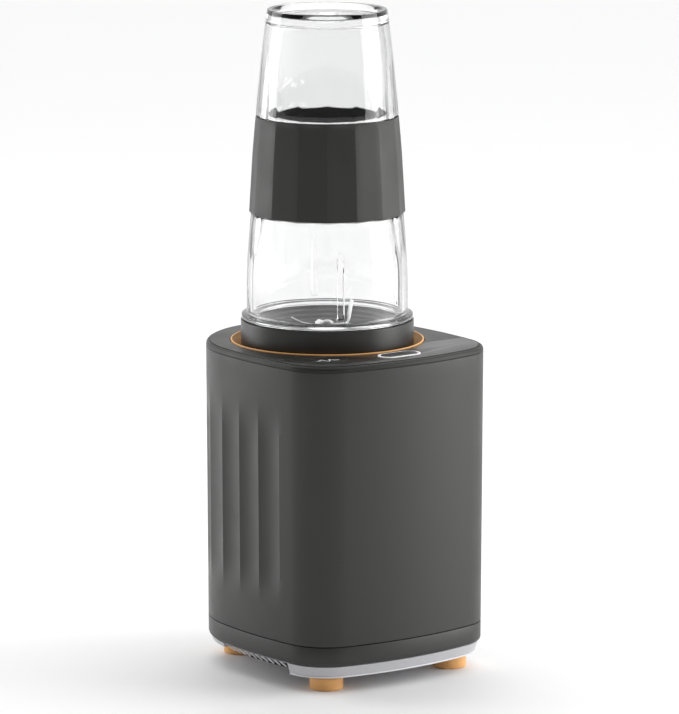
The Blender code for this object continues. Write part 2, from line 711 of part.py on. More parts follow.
def brush_spring(name, sign):
    """A coil behind the brush, along X."""
    turns, per_turn, length, radius = 4, 6, 7.6, 2.4
    curve = bpy.data.curves.new(name, "CURVE")
    curve.dimensions = "3D"
    curve.bevel_depth = 0.35 * MM
    curve.bevel_resolution = 0
    curve.use_fill_caps = True
    spline = curve.splines.new("POLY")
    count = turns * per_turn + 1
    spline.points.add(count - 1)
    for i, point in enumerate(spline.points):
        angle = 2 * math.pi * i / per_turn
        along = 22.7 + length * i / (count - 1)
        x = sign * along * MM
        point.co = (x, radius * math.cos(angle) * MM, radius * math.sin(angle) * MM, 1.0)
    return add_object(name, curve_as_mesh(name, curve), STEEL, PARTS, 0.0, 0.0, 76.5)


def curve_as_mesh(name, curve):
    """The curve's tube as a mesh with its caps welded on."""
    holder = bpy.data.objects.new(name + "_curve", curve)
    bpy.context.scene.collection.objects.link(holder)
    bpy.context.view_layer.update()
    graph = bpy.context.evaluated_depsgraph_get()
    mesh = bpy.data.meshes.new_from_object(holder.evaluated_get(graph))
    bpy.data.objects.remove(holder)
    bm = bmesh.new()
    bm.from_mesh(mesh)
    bmesh.ops.remove_doubles(bm, verts=bm.verts[:], dist=0.00001)
    bm.to_mesh(mesh)
    bm.free()
    mesh.shade_smooth()
    return mesh


def motor_shaft():
    profile = ((0.0, 156.4), (SHAFT_R, 156.4), (SHAFT_R, 33.0), (0.0, 33.0))
    return turned("motor_shaft", profile, STEEL, steps=SMALL_ROUND)


def star(outer, inner, teeth, fill):
    """A toothed outline: each tooth fills this share of its pitch at the outer radius."""
    points = []
    for k in range(teeth):
        middle = 2 * math.pi * k / teeth
        half = fill * math.pi / teeth
        gap_half = (1.0 - fill) * math.pi / teeth
        points += arc((0, 0), outer, middle - half, middle + half, 3)
        start = middle + half
        points += arc((0, 0), inner, start + 0.3 * gap_half, start + 1.7 * gap_half, 2)
    return points


def armature_core():
    core = prism("armature_core", star(17.0, 11.0, ARMATURE_SLOTS, 0.7), 92.0, 126.0, IRON)
    cut(core, rod("armature_bore", SHAFT_R + 0.1, 80.0, 140.0, where=CUTTERS))
    return core


def armature_winding():
    """Copper in the core's slots, gathered into a ring at each end."""
    def end_ring(low, high):
        return ((13.5, high), (15.0, high - 1.2), (15.0, low), (7.0, low), (7.0, high))

    winding = turned("armature_winding", end_ring(126.3, 129.8), COPPER, steps=SMALL_ROUND)
    join(winding, turned("winding_lower_end", end_ring(86.6, 91.7), COPPER, steps=SMALL_ROUND))
    for k in range(ARMATURE_SLOTS):
        angle = 360 / ARMATURE_SLOTS * (k + 0.5)
        x, y = polar(13.2, angle)
        wire = box(f"slot_wire_{k}", (x, y, 109.0), (2.8, 1.1, 38.0), turn=math.radians(angle))
        join(winding, wire)
    return winding


def commutator():
    made = prism("commutator", star(11.0, 10.3, 12, 0.85), 70.0, 84.0, BRASS)
    return cut(made, rod("commutator_bore", SHAFT_R + 0.1, 60.0, 90.0, where=CUTTERS))


def cooling_fan():
    profile = ((34.0, 40.2), (34.0, 38.6), (4.1, 38.6), (4.1, 47.6), (8.0, 47.6), (9.0, 40.2))
    fan = turned("cooling_fan", profile, FAN_NYLON, steps=18)
    for k in range(9):
        x, y = polar(21.0, 40 * k)
        turn = math.radians(40 * k + 28)
        join(fan, box(f"fan_blade_{k}", (x, y, 43.6), (24.0, 1.6, 8.0), turn=turn))
    return fan


def coupling(name, disc, boss, teeth, offset, skin):
    """Half of the drive clutch: a disc with six upright teeth and a bored boss."""
    low, high = disc
    profile = [(14.0, high), (14.0, low), (boss[0], low), (boss[0], high)]
    made = turned(name, profile, skin, steps=18)
    for k in range(6):
        a = math.radians(60 * k + offset)
        half = math.radians(11)
        outline = arc((0, 0), 13.4, a - half, a + half, 4)
        outline += arc((0, 0), 8.6, a + half, a - half, 4)
        join(made, prism(f"{name}_tooth_{k}", outline, *teeth))
    return made


def drive_coupling():
    return coupling("drive_coupling", (151.0, 153.6), (SHAFT_R + 0.1,), (153.0, 156.9), 0, CARBON)


# ---- blade unit ---------------------------------------------------------------------------------
def blade_collar():
    """The screw collar. It clamps the blade seat against the cup's mouth."""
    low = WELL_FLOOR + 0.7
    profile = (
        (42.6, COLLAR_TOP), (43.8, COLLAR_TOP), (COLLAR_R, COLLAR_TOP - 0.7), (COLLAR_R, low),
        (42.6, low), (42.6, 161.0), (39.5, 161.0), (39.5, 163.0), (42.6, 163.0),
    )
    return turned("blade_collar", profile, COLLAR_GREY, steps=ROUND)


def blade_seat():
    """The dished floor under the blades, with the bush's hub below."""
    profile = (
        (5.2, 169.6), (9.0, 169.6), (20.0, 172.6), (34.6, 179.0), (36.0, 178.4), (36.0, 165.4),
        (42.2, 165.4), (42.2, 163.4), (33.8, 163.4), (33.8, 175.4), (9.6, 167.4), (9.6, 162.0),
        (5.2, 162.0),
    )
    return turned("blade_seat", profile, COLLAR_GREY, steps=ROUND)


def blade_gasket():
    profile = ((42.0, 169.2), (42.0, 165.7), (36.4, 165.7), (36.4, 169.2))
    return turned("blade_gasket", profile, SEAL_WHITE, steps=ROUND)


def spindle_bush():
    profile = ((5.0, 169.5), (5.0, 162.2), (3.1, 162.2), (3.1, 169.5))
    return turned("spindle_bush", profile, BRASS, steps=SMALL_ROUND)


def blade_spindle():
    profile = (
        (0.0, 175.4), (2.4, 175.4), (2.5, 170.4), (2.9, 170.1), (2.9, 157.2), (0.0, 157.2),
    )
    return turned("blade_spindle", profile, STEEL, steps=SMALL_ROUND)


def blade(name, turn, sheet, arms):
    """A stamped two-armed blade. Each arm is (radius, height, half width) stations outward."""
    stations = [(-r, z, w) for r, z, w in reversed(arms[0])] + list(arms[1])
    bm = bmesh.new()
    rows = []
    for along, z, half in stations:
        rows.append([bm.verts.new((along * MM, side * half * MM, z * MM)) for side in (-1, 1)])
    for a, b in zip(rows, rows[1:]):
        bm.faces.new((a[0], b[0], b[1], a[1]))
    made = add_object(name, mesh_from(name, bm, smooth=False), STEEL, PARTS)
    made.rotation_euler = (0.0, 0.0, turn)
    solid = made.modifiers.new("Solidify", "SOLIDIFY")
    solid.thickness = sheet * MM
    solid.offset = 0.0
    return cut(made, rod(name + "_bore", 2.7, 165.0, 180.0, where=CUTTERS))


def lower_blade():
    flat = ((0.0, 170.9, 5.0), (7.0, 170.9, 4.6))
    low_arm = (*flat[1:], (13.0, 172.6, 3.6), (18.5, 174.2, 1.2))
    return blade("lower_blade", math.radians(66.8), 1.0, (low_arm, low_arm))


def upper_blade():
    near = (7.0, 172.2, 4.4)
    tall_arm = (near, (9.2, 172.8, 4.2), (10.4, 174.6, 4.0), (13.2, 188.0, 1.6))
    short_arm = (near, (12.0, 174.0, 3.6), (19.0, 179.6, 1.2))
    return blade("upper_blade", math.radians(-23.2), 1.0, (short_arm, tall_arm))


def blade_nut():
    profile = (
        (0.0, 177.4), (1.6, 177.1), (2.9, 176.2), (3.7, 174.9), (3.7, 173.0), (2.7, 173.0),
        (2.7, 175.8), (0.0, 175.8),
    )
    return turned("blade_nut", profile, STEEL, steps=SMALL_ROUND)


def driven_coupling():
    return coupling("driven_coupling", (157.3, 159.8), (3.1,), (153.9, 157.9), 30, CARBON)


# ---- cup ----------------------------------------------------------------------------------------
CUP_OUTSIDE = ((165.0, 31.4), (146.5, 33.6), (116.0, 36.55))  # (height above the lip, radius)
CUP_LOWER = ((64.6, 39.15), (45.0, 40.8), (27.0, 41.5))
CUP_WALL = 2.9
SLEEVE_RECESS = 1.2


def blending_cup():
    """A clear tumbler, mouth down, with a recessed base and a recess for the sleeve."""
    z0 = RING_TOP
    outside = [(0.0, 166.6), (26.8, 166.6), (28.6, 170.2), (30.1, 170.2), (31.0, 167.8)]
    outside += [(r, z) for z, r in CUP_OUTSIDE]
    outside += [(36.6 - SLEEVE_RECESS, 115.5), (39.2 - SLEEVE_RECESS, 65.1)]
    outside += [(r, z) for z, r in CUP_LOWER]
    outside += [(41.5, 14.7), (44.2, 14.2), (44.2, 10.9), (41.2, 10.9), (41.0, 1.6)]
    inside = [(38.4, 1.6), (38.5, 27.0)]
    inside += [(r - CUP_WALL, z) for z, r in reversed(CUP_LOWER[:-1])]
    inside += [(r - CUP_WALL, z) for z, r in reversed(CUP_OUTSIDE[1:])]
    inside += [(28.2, 163.8), (0.0, 163.4)]
    profile = [(r, z + z0) for r, z in outside + inside]
    return turned("blending_cup", profile, CLEAR, steps=ROUND)


def cup_sleeve():
    """The grip sleeve: flat facets that meet a round top edge."""
    per_facet = 2
    count = FACETS * per_facet

    def ring(z, radius, faceted):
        points = []
        for i in range(count):
            angle = FACET_TURN + 2 * math.pi * i / count
            off = ((i % per_facet) / per_facet - 0.5) * 2 * math.pi / FACETS
            flat = math.cos(math.pi / FACETS) / math.cos(off) if i % per_facet else 1.0
            r = radius * (flat if faceted else 1.0)
            points.append((r * math.cos(angle), r * math.sin(angle), z))
        return points

    low, high = SLEEVE_BOTTOM, SLEEVE_TOP
    inner_low = 39.2 - SLEEVE_RECESS + GAP
    inner_high = 36.6 - SLEEVE_RECESS + GAP
    rings = [
        ring(low, SLEEVE_BOTTOM_R, True), ring(high - 18.0, 38.3, True),
        ring(high - 2.0, SLEEVE_TOP_R + 0.2, True), ring(high, SLEEVE_TOP_R, False),
        ring(high, inner_high, False), ring(low, inner_low, False),
    ]
    return loft("cup_sleeve", rings, SLEEVE_GREY, closed=True)


# ---- the assembly ---------------------------------------------------------------------------------
def main():
    base_housing()
    base_skirt()
    bottom_tray()
    corners = ("front_left", "front_right", "rear_left", "rear_right")
    for name, (x, y) in zip(corners, FOOT_XY):
        foot("foot_" + name, x, y)
    for name, (x, y), seat in zip(corners, SCREW_XY, SCREW_SEATS):
        housing_screw("housing_screw_" + name, x, y, seat)
    top_deck()
    control_panel()
    accent_ring()
    coupling_well()
    power_light_ring()
    power_button()
    pulse_button()
    button_board()
    power_board()
    cord_bushing()
    interlock_plunger()
    interlock_switch()
    upper_motor_bracket()
    lower_motor_bracket()
    bearing("upper_bearing", 130.2)
    bearing("lower_bearing", 52.6)
    stator_core()
    for side, sign in (("front", -1), ("rear", 1)):
        field_coil("field_coil_" + side, sign)
    for side, sign in (("left", -1), ("right", 1)):
        motor_bolt("motor_bolt_" + side, sign * BOLT_X)
        brush_holder("brush_holder_" + side, sign)
        brush("brush_" + side, sign)
        brush_spring("brush_spring_" + side, sign)
    for place, angle in zip(("rear_left", "front_left", "front_right"), DAMPER_ANGLES):
        motor_damper("motor_damper_" + place, angle)
    motor_shaft()
    armature_core()
    armature_winding()
    commutator()
    cooling_fan()
    drive_coupling()
    blade_collar()
    blade_seat()
    blade_gasket()
    spindle_bush()
    blade_spindle()
    lower_blade()
    upper_blade()
    blade_nut()
    driven_coupling()
    blending_cup()
    cup_sleeve()


main()
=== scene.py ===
"""Looks for the countertop blender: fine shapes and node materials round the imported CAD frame.

Metres, in the CAD's frame: the origin is on the table under the middle of the base, the front
faces -Y. Numbers in the shape functions are millimetres until place() or MM turns them to
metres. Their plan coordinates are taken from the cup's axis and their heights from a plane
LIFT above the table.
"""

import json
import math

import bmesh
import bpy
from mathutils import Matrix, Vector


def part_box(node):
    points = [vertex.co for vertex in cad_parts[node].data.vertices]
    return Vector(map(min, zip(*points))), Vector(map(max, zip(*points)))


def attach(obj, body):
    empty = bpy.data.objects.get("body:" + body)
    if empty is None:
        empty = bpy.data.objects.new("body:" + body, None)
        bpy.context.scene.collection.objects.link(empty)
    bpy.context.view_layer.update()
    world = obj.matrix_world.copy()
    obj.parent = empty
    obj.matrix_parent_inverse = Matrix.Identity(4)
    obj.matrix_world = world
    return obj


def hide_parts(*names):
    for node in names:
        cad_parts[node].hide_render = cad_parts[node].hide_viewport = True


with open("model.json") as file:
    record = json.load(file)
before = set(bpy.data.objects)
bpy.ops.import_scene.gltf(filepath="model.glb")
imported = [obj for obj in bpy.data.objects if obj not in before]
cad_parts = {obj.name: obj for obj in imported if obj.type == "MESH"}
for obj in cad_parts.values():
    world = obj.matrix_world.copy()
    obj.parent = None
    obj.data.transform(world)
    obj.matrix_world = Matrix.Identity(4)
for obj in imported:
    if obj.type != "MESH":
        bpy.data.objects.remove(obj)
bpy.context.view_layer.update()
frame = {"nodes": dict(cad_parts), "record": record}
NODES = frame["nodes"]

MM = 0.001
LIFT = 1.2
AXIS_Y = (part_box("accent_ring")[0].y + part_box("accent_ring")[1].y) / 2 / MM
TAU = 2 * math.pi

# ---- driving dimensions, as the CAD has them ----------------------------------------------------
RING_TOP = 168.0
DECK_TOP = 167.4
RIM_BOTTOM = 164.3
SKIRT_TOP = 23.2
SKIRT_BOTTOM = 13.1
TRAY_BOTTOM = 6.6
DRAFT = 0.7
SKIN = 0.06  # fine outlines stay this far inside the CAD's

HALF_WIDTH = 61.6
FRONT_Y = -74.0
FRONT_R = 185.0
CORNER_R = 25.5
SIDE_R = 250.0
SIDE_Y = -18.0
BACK_Y = 3.6

FLUTE_COUNT = 7
FLUTE_PITCH = 16.6
FLUTE_START_Y = -39.5
FLUTE_DEPTH = 1.3

RING_R = 49.8
WELL_R = 45.1
WELL_FLOOR = 150.5
COLLAR_R = 44.5
COLLAR_TOP = 178.5
FACETS = 16
FACET_TURN = math.radians(-127.2)

POWER_XY = (1.3, -58.6)
POWER_SIZE = (24.6, 11.6)
PULSE_XY = (-36.2, -49.8)
PULSE_SIZE = (21.0, 12.0)
PULSE_TURN = math.radians(-14)
LIGHT_RING_WIDTH = 1.3
PANEL_BACK_Y = -38.5
PANEL_INSET = 2.6
PANEL_FLOOR = 165.2  # of the deck's recess for the panel
DECK_UNDERSIDE = 163.9
GAP = 0.3

TRAY_FLOOR = TRAY_BOTTOM + 2.2
TRAY_TOP = 20.0
ARCH_FRONT_Y = -43.3
ARCH_REAR_Y = 12.5  # the arch is lower behind this
ARCH_TOP = 12.3
REAR_ARCH_TOP = 10.4
ARCH_INSET = 23.0
BAR_COUNT = 10
BAR_PITCH = 4.95
BAR_WIDTH = 0.9
BAR_Y = [ARCH_FRONT_Y + BAR_PITCH * (k + 1) for k in range(BAR_COUNT)]
CORD_Z = 34.0
CORD_HOLE_R = 6.1

FOOT_XY = {
    "front_left": (-39.8, -51.8), "front_right": (39.8, -51.8),
    "rear_left": (-27.5, 39.0), "rear_right": (27.5, 39.0),
}
FOOT_R = 8.6
SCREW_XY = ((-25.0, -62.9), (25.0, -62.9), (-47.7, 21.5), (47.7, 21.5))
SCREW_SEATS = (10.3, 10.3, 15.0, 15.0)
DAMPER_ANGLES = (135, 225, 315)
DAMPER_R = 37.0
PLUNGER_R = 40.5
PLUNGER_ANGLE = 45

# ---- camera, floor and lights -------------------------------------------------------------------
CAMERA_AZIMUTH = -37.2315
CAMERA_ELEVATION = 10.1805
CAMERA_DISTANCE = 2.784
CAMERA_TARGET = Vector((0.0050, 0.0012, 0.15904))
CAMERA_LENS = 272.57
CAMERA_SENSOR = 36.0
WORLD_FRONT = 0.14  # the surround's strength on the camera's side
WORLD_BACK = 0.95
LIGHT_AIM = Vector((0.0, 0.0, 0.15))
LIGHT_DISTANCE = 1.7
SUN_STRENGTH = 1.7
LEFT_WATTS = 8.5
RIGHT_WATTS = 19.0
CUP_EDGE_POWER = 6.0  # how fast the cup's wall darkens towards its outline


def direction(azimuth, elevation):
    """A unit vector from the object towards this azimuth (0 is the front, -Y) and elevation."""
    a, e = math.radians(azimuth), math.radians(elevation)
    return Vector((math.sin(a) * math.cos(e), -math.cos(a) * math.cos(e), math.sin(e)))


def make_camera():
    data = bpy.data.cameras.new("camera")
    data.lens = CAMERA_LENS
    data.sensor_width = CAMERA_SENSOR
    data.clip_start = 0.05
    data.clip_end = 60.0
    camera = bpy.data.objects.new("camera", data)
    bpy.context.scene.collection.objects.link(camera)
    back = direction(CAMERA_AZIMUTH, CAMERA_ELEVATION)
    camera.location = CAMERA_TARGET + back * CAMERA_DISTANCE
    camera.rotation_mode = "QUATERNION"
    camera.rotation_quaternion = (-back).to_track_quat("-Z", "Y")
    bpy.context.scene.camera = camera


def add_light(name, data, azimuth, elevation):
    """A light that shines on the object's middle from this direction."""
    light = bpy.data.objects.new(name, data)
    bpy.context.scene.collection.objects.link(light)
    towards = direction(azimuth, elevation)
    light.location = LIGHT_AIM + towards * LIGHT_DISTANCE
    light.rotation_mode = "QUATERNION"
    light.rotation_quaternion = (-towards).to_track_quat("-Z", "Y")


def area_light(name, azimuth, elevation, size, power):
    data = bpy.data.lights.new(name, "AREA")
    data.shape = "RECTANGLE"
    data.size, data.size_y = size
    data.energy = power
    add_light(name, data, azimuth, elevation)


def sun(name, azimuth, elevation, strength, angle):
    data = bpy.data.lights.new(name, "SUN")
    data.energy = strength
    data.angle = math.radians(angle)
    add_light(name, data, azimuth, elevation)


def make_world():
    """A soft surround, dim on the camera's side and bright behind the object."""
    world = bpy.data.worlds.new("studio")
    world.use_nodes = True
    tree = world.node_tree
    coords = node(tree, "ShaderNodeTexCoord").outputs["Generated"]
    facing = node(tree, "ShaderNodeVectorMath", operation="DOT_PRODUCT")
    facing.inputs[1].default_value = -direction(CAMERA_AZIMUTH, 0.0)
    tree.links.new(coords, facing.inputs[0])
    ramp = node(tree, "ShaderNodeMapRange", interpolation_type="SMOOTHSTEP")
    ramp.inputs["From Min"].default_value = -0.5
    ramp.inputs["From Max"].default_value = 0.85
    ramp.inputs["To Min"].default_value = WORLD_FRONT
    ramp.inputs["To Max"].default_value = WORLD_BACK
    tree.links.new(facing.outputs["Value"], ramp.inputs["Value"])
    background = tree.nodes["Background"]
    background.inputs["Color"].default_value = (1.0, 1.0, 1.0, 1.0)
    tree.links.new(ramp.outputs["Result"], background.inputs["Strength"])
    bpy.context.scene.world = world


def make_floor():
    """A wide, pale, plain floor."""
    bm = bmesh.new()
    bmesh.ops.create_grid(bm, x_segments=2, y_segments=2, size=20.0)
    mesh = bpy.data.meshes.new("floor")
    bm.to_mesh(mesh)
    bm.free()
    floor = bpy.data.objects.new("floor", mesh)
    bpy.context.scene.collection.objects.link(floor)
    mesh.materials.append(surface("floor_white", (0.93, 0.93, 0.93), 0.6, grain=0.0, blotch=0.005))


def make_studio():
    make_world()
    make_floor()
    sun("overhead", 120, 75, SUN_STRENGTH, 90)
    area_light("side_left", -150, 12, (1.0, 1.2), LEFT_WATTS)
    area_light("side_right", 52, 14, (1.2, 1.2), RIGHT_WATTS)


# ---- materials ----------------------------------------------------------------------------------
ROUGHNESS_SHARE = 0.12  # how far a surface's roughness varies either way


def node(tree, kind, **settings):
    made = tree.nodes.new(kind)
    for key, value in settings.items():
        setattr(made, key, value)
    return made


def noise(tree, coords, scale, detail=3.0, rough=0.55, stretch=None):
    """A noise texture in object space, stretched along an axis where asked."""
    made = node(tree, "ShaderNodeTexNoise")
    made.inputs["Scale"].default_value = scale
    made.inputs["Detail"].default_value = detail
    made.inputs["Roughness"].default_value = rough
    if stretch:
        mapping = node(tree, "ShaderNodeMapping")
        mapping.inputs["Scale"].default_value = stretch
        tree.links.new(coords, mapping.inputs["Vector"])
        coords = mapping.outputs["Vector"]
    tree.links.new(coords, made.inputs["Vector"])
    return made.outputs["Fac"]


def spread_value(tree, source, low, high):
    """A 0 to 1 value mapped to this range."""
    made = node(tree, "ShaderNodeMapRange")
    made.inputs["From Min"].default_value = 0.3
    made.inputs["From Max"].default_value = 0.7
    made.inputs["To Min"].default_value = low
    made.inputs["To Max"].default_value = high
    tree.links.new(source, made.inputs["Value"])
    return made.outputs["Result"]


def new_material(name):
    """An empty node material: itself, its tree, its shader and its object coordinates."""
    made = bpy.data.materials.new(name)
    made.use_nodes = True
    shader = made.node_tree.nodes["Principled BSDF"]
    coords = node(made.node_tree, "ShaderNodeTexCoord").outputs["Object"]
    return made, made.node_tree, shader, coords


def two_tone(tree, factor, colour, share):
    """The colour, a little darker to a little lighter as the factor goes from 0 to 1."""
    mix = node(tree, "ShaderNodeMix", data_type="RGBA")
    mix.inputs[6].default_value = (*(c * (1 - share) for c in colour), 1.0)
    mix.inputs[7].default_value = (*(min(1.0, c * (1 + share)) for c in colour), 1.0)
    tree.links.new(factor, mix.inputs[0])
    return mix.outputs[2]


def surface(name, colour, roughness, metallic=0.0, grain=0.1, grain_scale=2600.0, blotch=0.05,
            blotch_scale=45.0, specular=0.5, stretch=None):
    """A solid surface: blotchy colour, uneven roughness and a fine moulded or ground grain."""
    made, tree, shader, coords = new_material(name)
    shader.inputs["Metallic"].default_value = metallic
    shader.inputs["IOR"].default_value = 1.5
    shader.inputs["Specular IOR Level"].default_value = specular
    patches = noise(tree, coords, blotch_scale, 4.0)
    tone = spread_value(tree, patches, 0.0, 1.0)
    tree.links.new(two_tone(tree, tone, colour, blotch), shader.inputs["Base Color"])
    fine = noise(tree, coords, grain_scale, 2.0, 0.6, stretch)
    low, high = roughness * (1 - ROUGHNESS_SHARE), roughness * (1 + ROUGHNESS_SHARE)
    tree.links.new(spread_value(tree, patches, low, high), shader.inputs["Roughness"])
    if grain:
        bump = node(tree, "ShaderNodeBump")
        bump.inputs["Strength"].default_value = grain
        bump.inputs["Distance"].default_value = 0.0001
        tree.links.new(fine, bump.inputs["Height"])
        tree.links.new(bump.outputs["Normal"], shader.inputs["Normal"])
    return made


def clear_plastic(name):
    """Clear moulded copolyester with a trace of flow haze, grey where it is seen edge on."""
    made, tree, shader, coords = new_material(name)
    edge = node(tree, "ShaderNodeLayerWeight")
    edge.inputs["Blend"].default_value = 0.7
    power = node(tree, "ShaderNodeMath", operation="POWER")
    power.inputs[1].default_value = CUP_EDGE_POWER
    tree.links.new(edge.outputs["Facing"], power.inputs[0])
    mix = node(tree, "ShaderNodeMix", data_type="RGBA")
    mix.inputs[6].default_value = (0.972, 0.974, 0.974, 1.0)
    mix.inputs[7].default_value = (0.04, 0.04, 0.04, 1.0)
    tree.links.new(power.outputs["Value"], mix.inputs[0])
    tree.links.new(mix.outputs[2], shader.inputs["Base Color"])
    shader.inputs["Transmission Weight"].default_value = 1.0
    shader.inputs["IOR"].default_value = 1.5
    haze = noise(tree, coords, 60.0, 3.0, 0.5, (1.0, 1.0, 0.25))
    tree.links.new(spread_value(tree, haze, 0.0, 0.008), shader.inputs["Roughness"])
    bump = node(tree, "ShaderNodeBump")
    bump.inputs["Strength"].default_value = 0.04
    bump.inputs["Distance"].default_value = 0.0004
    tree.links.new(haze, bump.inputs["Height"])
    tree.links.new(bump.outputs["Normal"], shader.inputs["Normal"])
    return made


def frosted(name):
    """The light guide round the power key."""
    made, tree, shader, coords = new_material(name)
    tone = spread_value(tree, noise(tree, coords, 300.0), 0.0, 1.0)
    tree.links.new(two_tone(tree, tone, (0.9, 0.9, 0.9), 0.03), shader.inputs["Base Color"])
    shader.inputs["Roughness"].default_value = 0.35
    shader.inputs["Subsurface Weight"].default_value = 0.3
    shader.inputs["Subsurface Scale"].default_value = 0.001
    shader.inputs["Emission Color"].default_value = (1.0, 1.0, 1.0, 1.0)
    shader.inputs["Emission Strength"].default_value = 0.25
    return made


def make_materials():
    charcoal = (0.025, 0.0245, 0.023)
    dark = (0.022, 0.0215, 0.020)
    peach = (0.93, 0.49, 0.17)
    return {
        "charcoal_plastic": surface("charcoal_plastic", charcoal, 0.42, grain=0.25, specular=0.5),
        "deck_plastic": surface("deck_plastic", dark, 0.42, grain=0.2, specular=0.3),
        "panel_gloss": surface("panel_gloss", (0.022, 0.022, 0.022), 0.33, grain=0.06),
        # bar_plastic also colours the tray lip, where its paleness is a painted highlight
        "bar_plastic": surface("bar_plastic", (0.86, 0.86, 0.88), 0.35, grain=0.12, blotch=0.02),
        "peach_plastic": surface("peach_plastic", peach, 0.45, grain=0.12, blotch=0.03,
                                 specular=0.3),
        "peach_rubber": surface("peach_rubber", peach, 0.55, grain=0.3, blotch=0.04),
        "pale_grey_plastic": surface("pale_grey_plastic", (0.56, 0.56, 0.585), 0.4, grain=0.15,
                                     blotch=0.02),
        "collar_plastic": surface("collar_plastic", dark, 0.36, grain=0.2),
        "sleeve_rubber": surface("sleeve_rubber", dark, 0.46, grain=0.3),
        "clear_cup": clear_plastic("clear_cup"),
        "silicone": surface("silicone", (0.05, 0.05, 0.05), 0.5, grain=0.15),
        "steel": surface("steel", (0.82, 0.82, 0.83), 0.34, metallic=1.0, grain=0.35,
                         grain_scale=900.0, stretch=(0.15, 1.0, 1.0), blotch=0.06),
        "blade_steel": surface("blade_steel", (0.95, 0.95, 0.95), 0.5, metallic=1.0, grain=0.25,
                               grain_scale=900.0, stretch=(0.15, 1.0, 1.0), blotch=0.04),
        "laminations": surface("laminations", (0.25, 0.25, 0.26), 0.45, metallic=1.0, grain=0.6,
                               grain_scale=500.0, stretch=(0.02, 0.02, 3.0)),
        "enamelled_wire": surface("enamelled_wire", (0.55, 0.22, 0.08), 0.35, metallic=1.0,
                                  grain=0.9, grain_scale=700.0, stretch=(0.1, 0.1, 2.0)),
        "brass": surface("brass", (0.72, 0.53, 0.22), 0.3, metallic=1.0, grain=0.3),
        "carbon": surface("carbon", (0.025, 0.025, 0.025), 0.65, grain=0.5),
        "coupling_nylon": surface("coupling_nylon", (0.03, 0.03, 0.032), 0.45, grain=0.3),
        "circuit_board": surface("circuit_board", (0.03, 0.15, 0.06), 0.45, grain=0.4,
                                 grain_scale=900.0, blotch=0.2, blotch_scale=200.0),
        "black_rubber": surface("black_rubber", (0.02, 0.02, 0.02), 0.7, grain=0.5),
        "light_guide": frosted("light_guide"),
        "icon_ink": surface("icon_ink", (0.80, 0.80, 0.78), 0.5, grain=0.1),
        # liner_black colours the black sheet behind the vent bars, which stands in for shade:
        # painted shade
        "liner_black": surface("liner_black", (0.012, 0.012, 0.012), 0.8, grain=0.5),
    }


# ---- mesh helpers -------------------------------------------------------------------------------
def finish_mesh(name, bm, angle=30.0):
    bmesh.ops.recalc_face_normals(bm, faces=bm.faces[:])
    mesh = bpy.data.meshes.new(name)
    bm.to_mesh(mesh)
    bm.free()
    mesh.shade_smooth()
    mesh.set_sharp_from_angle(angle=math.radians(angle))
    return mesh


def piece(name, mesh, skin, body, nodes=()):
    """A shown piece that rides on a body and stands for these CAD nodes."""
    made = bpy.data.objects.new(name, mesh)
    bpy.context.scene.collection.objects.link(made)
    mesh.materials.append(MATERIALS[skin])
    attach(made, body)
    if nodes:
        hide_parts(*nodes)
    return made


def place(x, y, z):
    """A point given in mm from the cup's axis and the lifted plane, in metres."""
    return x * MM, (y + AXIS_Y) * MM, (z + LIFT) * MM


def bm_from_rings(rings, closed=False):
    bm = bmesh.new()
    add_rings(bm, rings, closed)
    return bm


def add_rings(bm, rings, closed=False):
    """Faces from each ring of (x, y, z) points, in mm from the axis, to the next. The first
    and last rings are joined where closed, and capped otherwise."""
    rows = [[bm.verts.new(place(*point)) for point in ring] for ring in rings]
    count = len(rows[0])
    pairs = list(zip(rows, rows[1:]))
    if closed:
        pairs.append((rows[-1], rows[0]))
    else:
        bm.faces.new(rows[0])
        bm.faces.new(rows[-1])
    for low, high in pairs:
        for i in range(count):
            j = (i + 1) % count
            bm.faces.new((low[i], low[j], high[j], high[i]))


def fillet(points, radius, count=4, closed=True):
    """A polyline with its corners rounded, as far as the edges beside them leave room."""
    out = []
    total = len(points)
    for i, here in enumerate(points):
        if not closed and i in (0, total - 1):
            out.append(tuple(here))
            continue
        here = Vector(here)
        before, after = Vector(points[i - 1]), Vector(points[(i + 1) % total])
        a, b = before - here, after - here
        la, lb = a.length, b.length
        if la < 1e-6 or lb < 1e-6:
            continue
        angle = a.angle(b)
        if angle > math.pi - 0.12:
            out.append(tuple(here))
            continue
        cut = min(radius / math.tan(angle / 2), la * 0.45, lb * 0.45)
        start, end = here + a / la * cut, here + b / lb * cut
        for k in range(count + 1):
            t = k / count
            point = start * (1 - t) ** 2 + here * 2 * t * (1 - t) + end * t * t
            out.append(tuple(point))
    return out


def revolved(profile, steps=128, at=(0.0, 0.0), radius=0.5, count=3):
    """A turned bmesh from (radius, height) points, corners rounded. A profile that starts and
    ends on the axis isn't closed."""
    on_axis = profile[0][0] < 1e-6
    line = fillet(profile, radius, count, closed=not on_axis)
    bm = bmesh.new()
    rows = []
    for r, z in line:
        if r < 1e-6:
            rows.append([bm.verts.new(place(*at, z))])
            continue
        row = []
        for k in range(steps):
            a = TAU * k / steps
            x, y = at[0] + r * math.cos(a), at[1] + r * math.sin(a)
            row.append(bm.verts.new(place(x, y, z)))
        rows.append(row)
    pairs = list(zip(rows, rows[1:]))
    if not on_axis:
        pairs.append((rows[-1], rows[0]))
    for low, high in pairs:
        for i in range(steps):
            j = (i + 1) % steps
            if len(low) == 1:
                bm.faces.new((low[0], high[j], high[i]))
            elif len(high) == 1:
                bm.faces.new((low[i], low[j], high[0]))
            else:
                bm.faces.new((low[i], low[j], high[j], high[i]))
    return bm


def turned(name, profile, skin, body, nodes, steps, at=(0.0, 0.0), radius=0.5, count=3,
           angle=30.0):
    """A turned piece."""
    bm = revolved(profile, steps, at, radius, count)
    return piece(name, finish_mesh(name, bm, angle), skin, body, nodes)


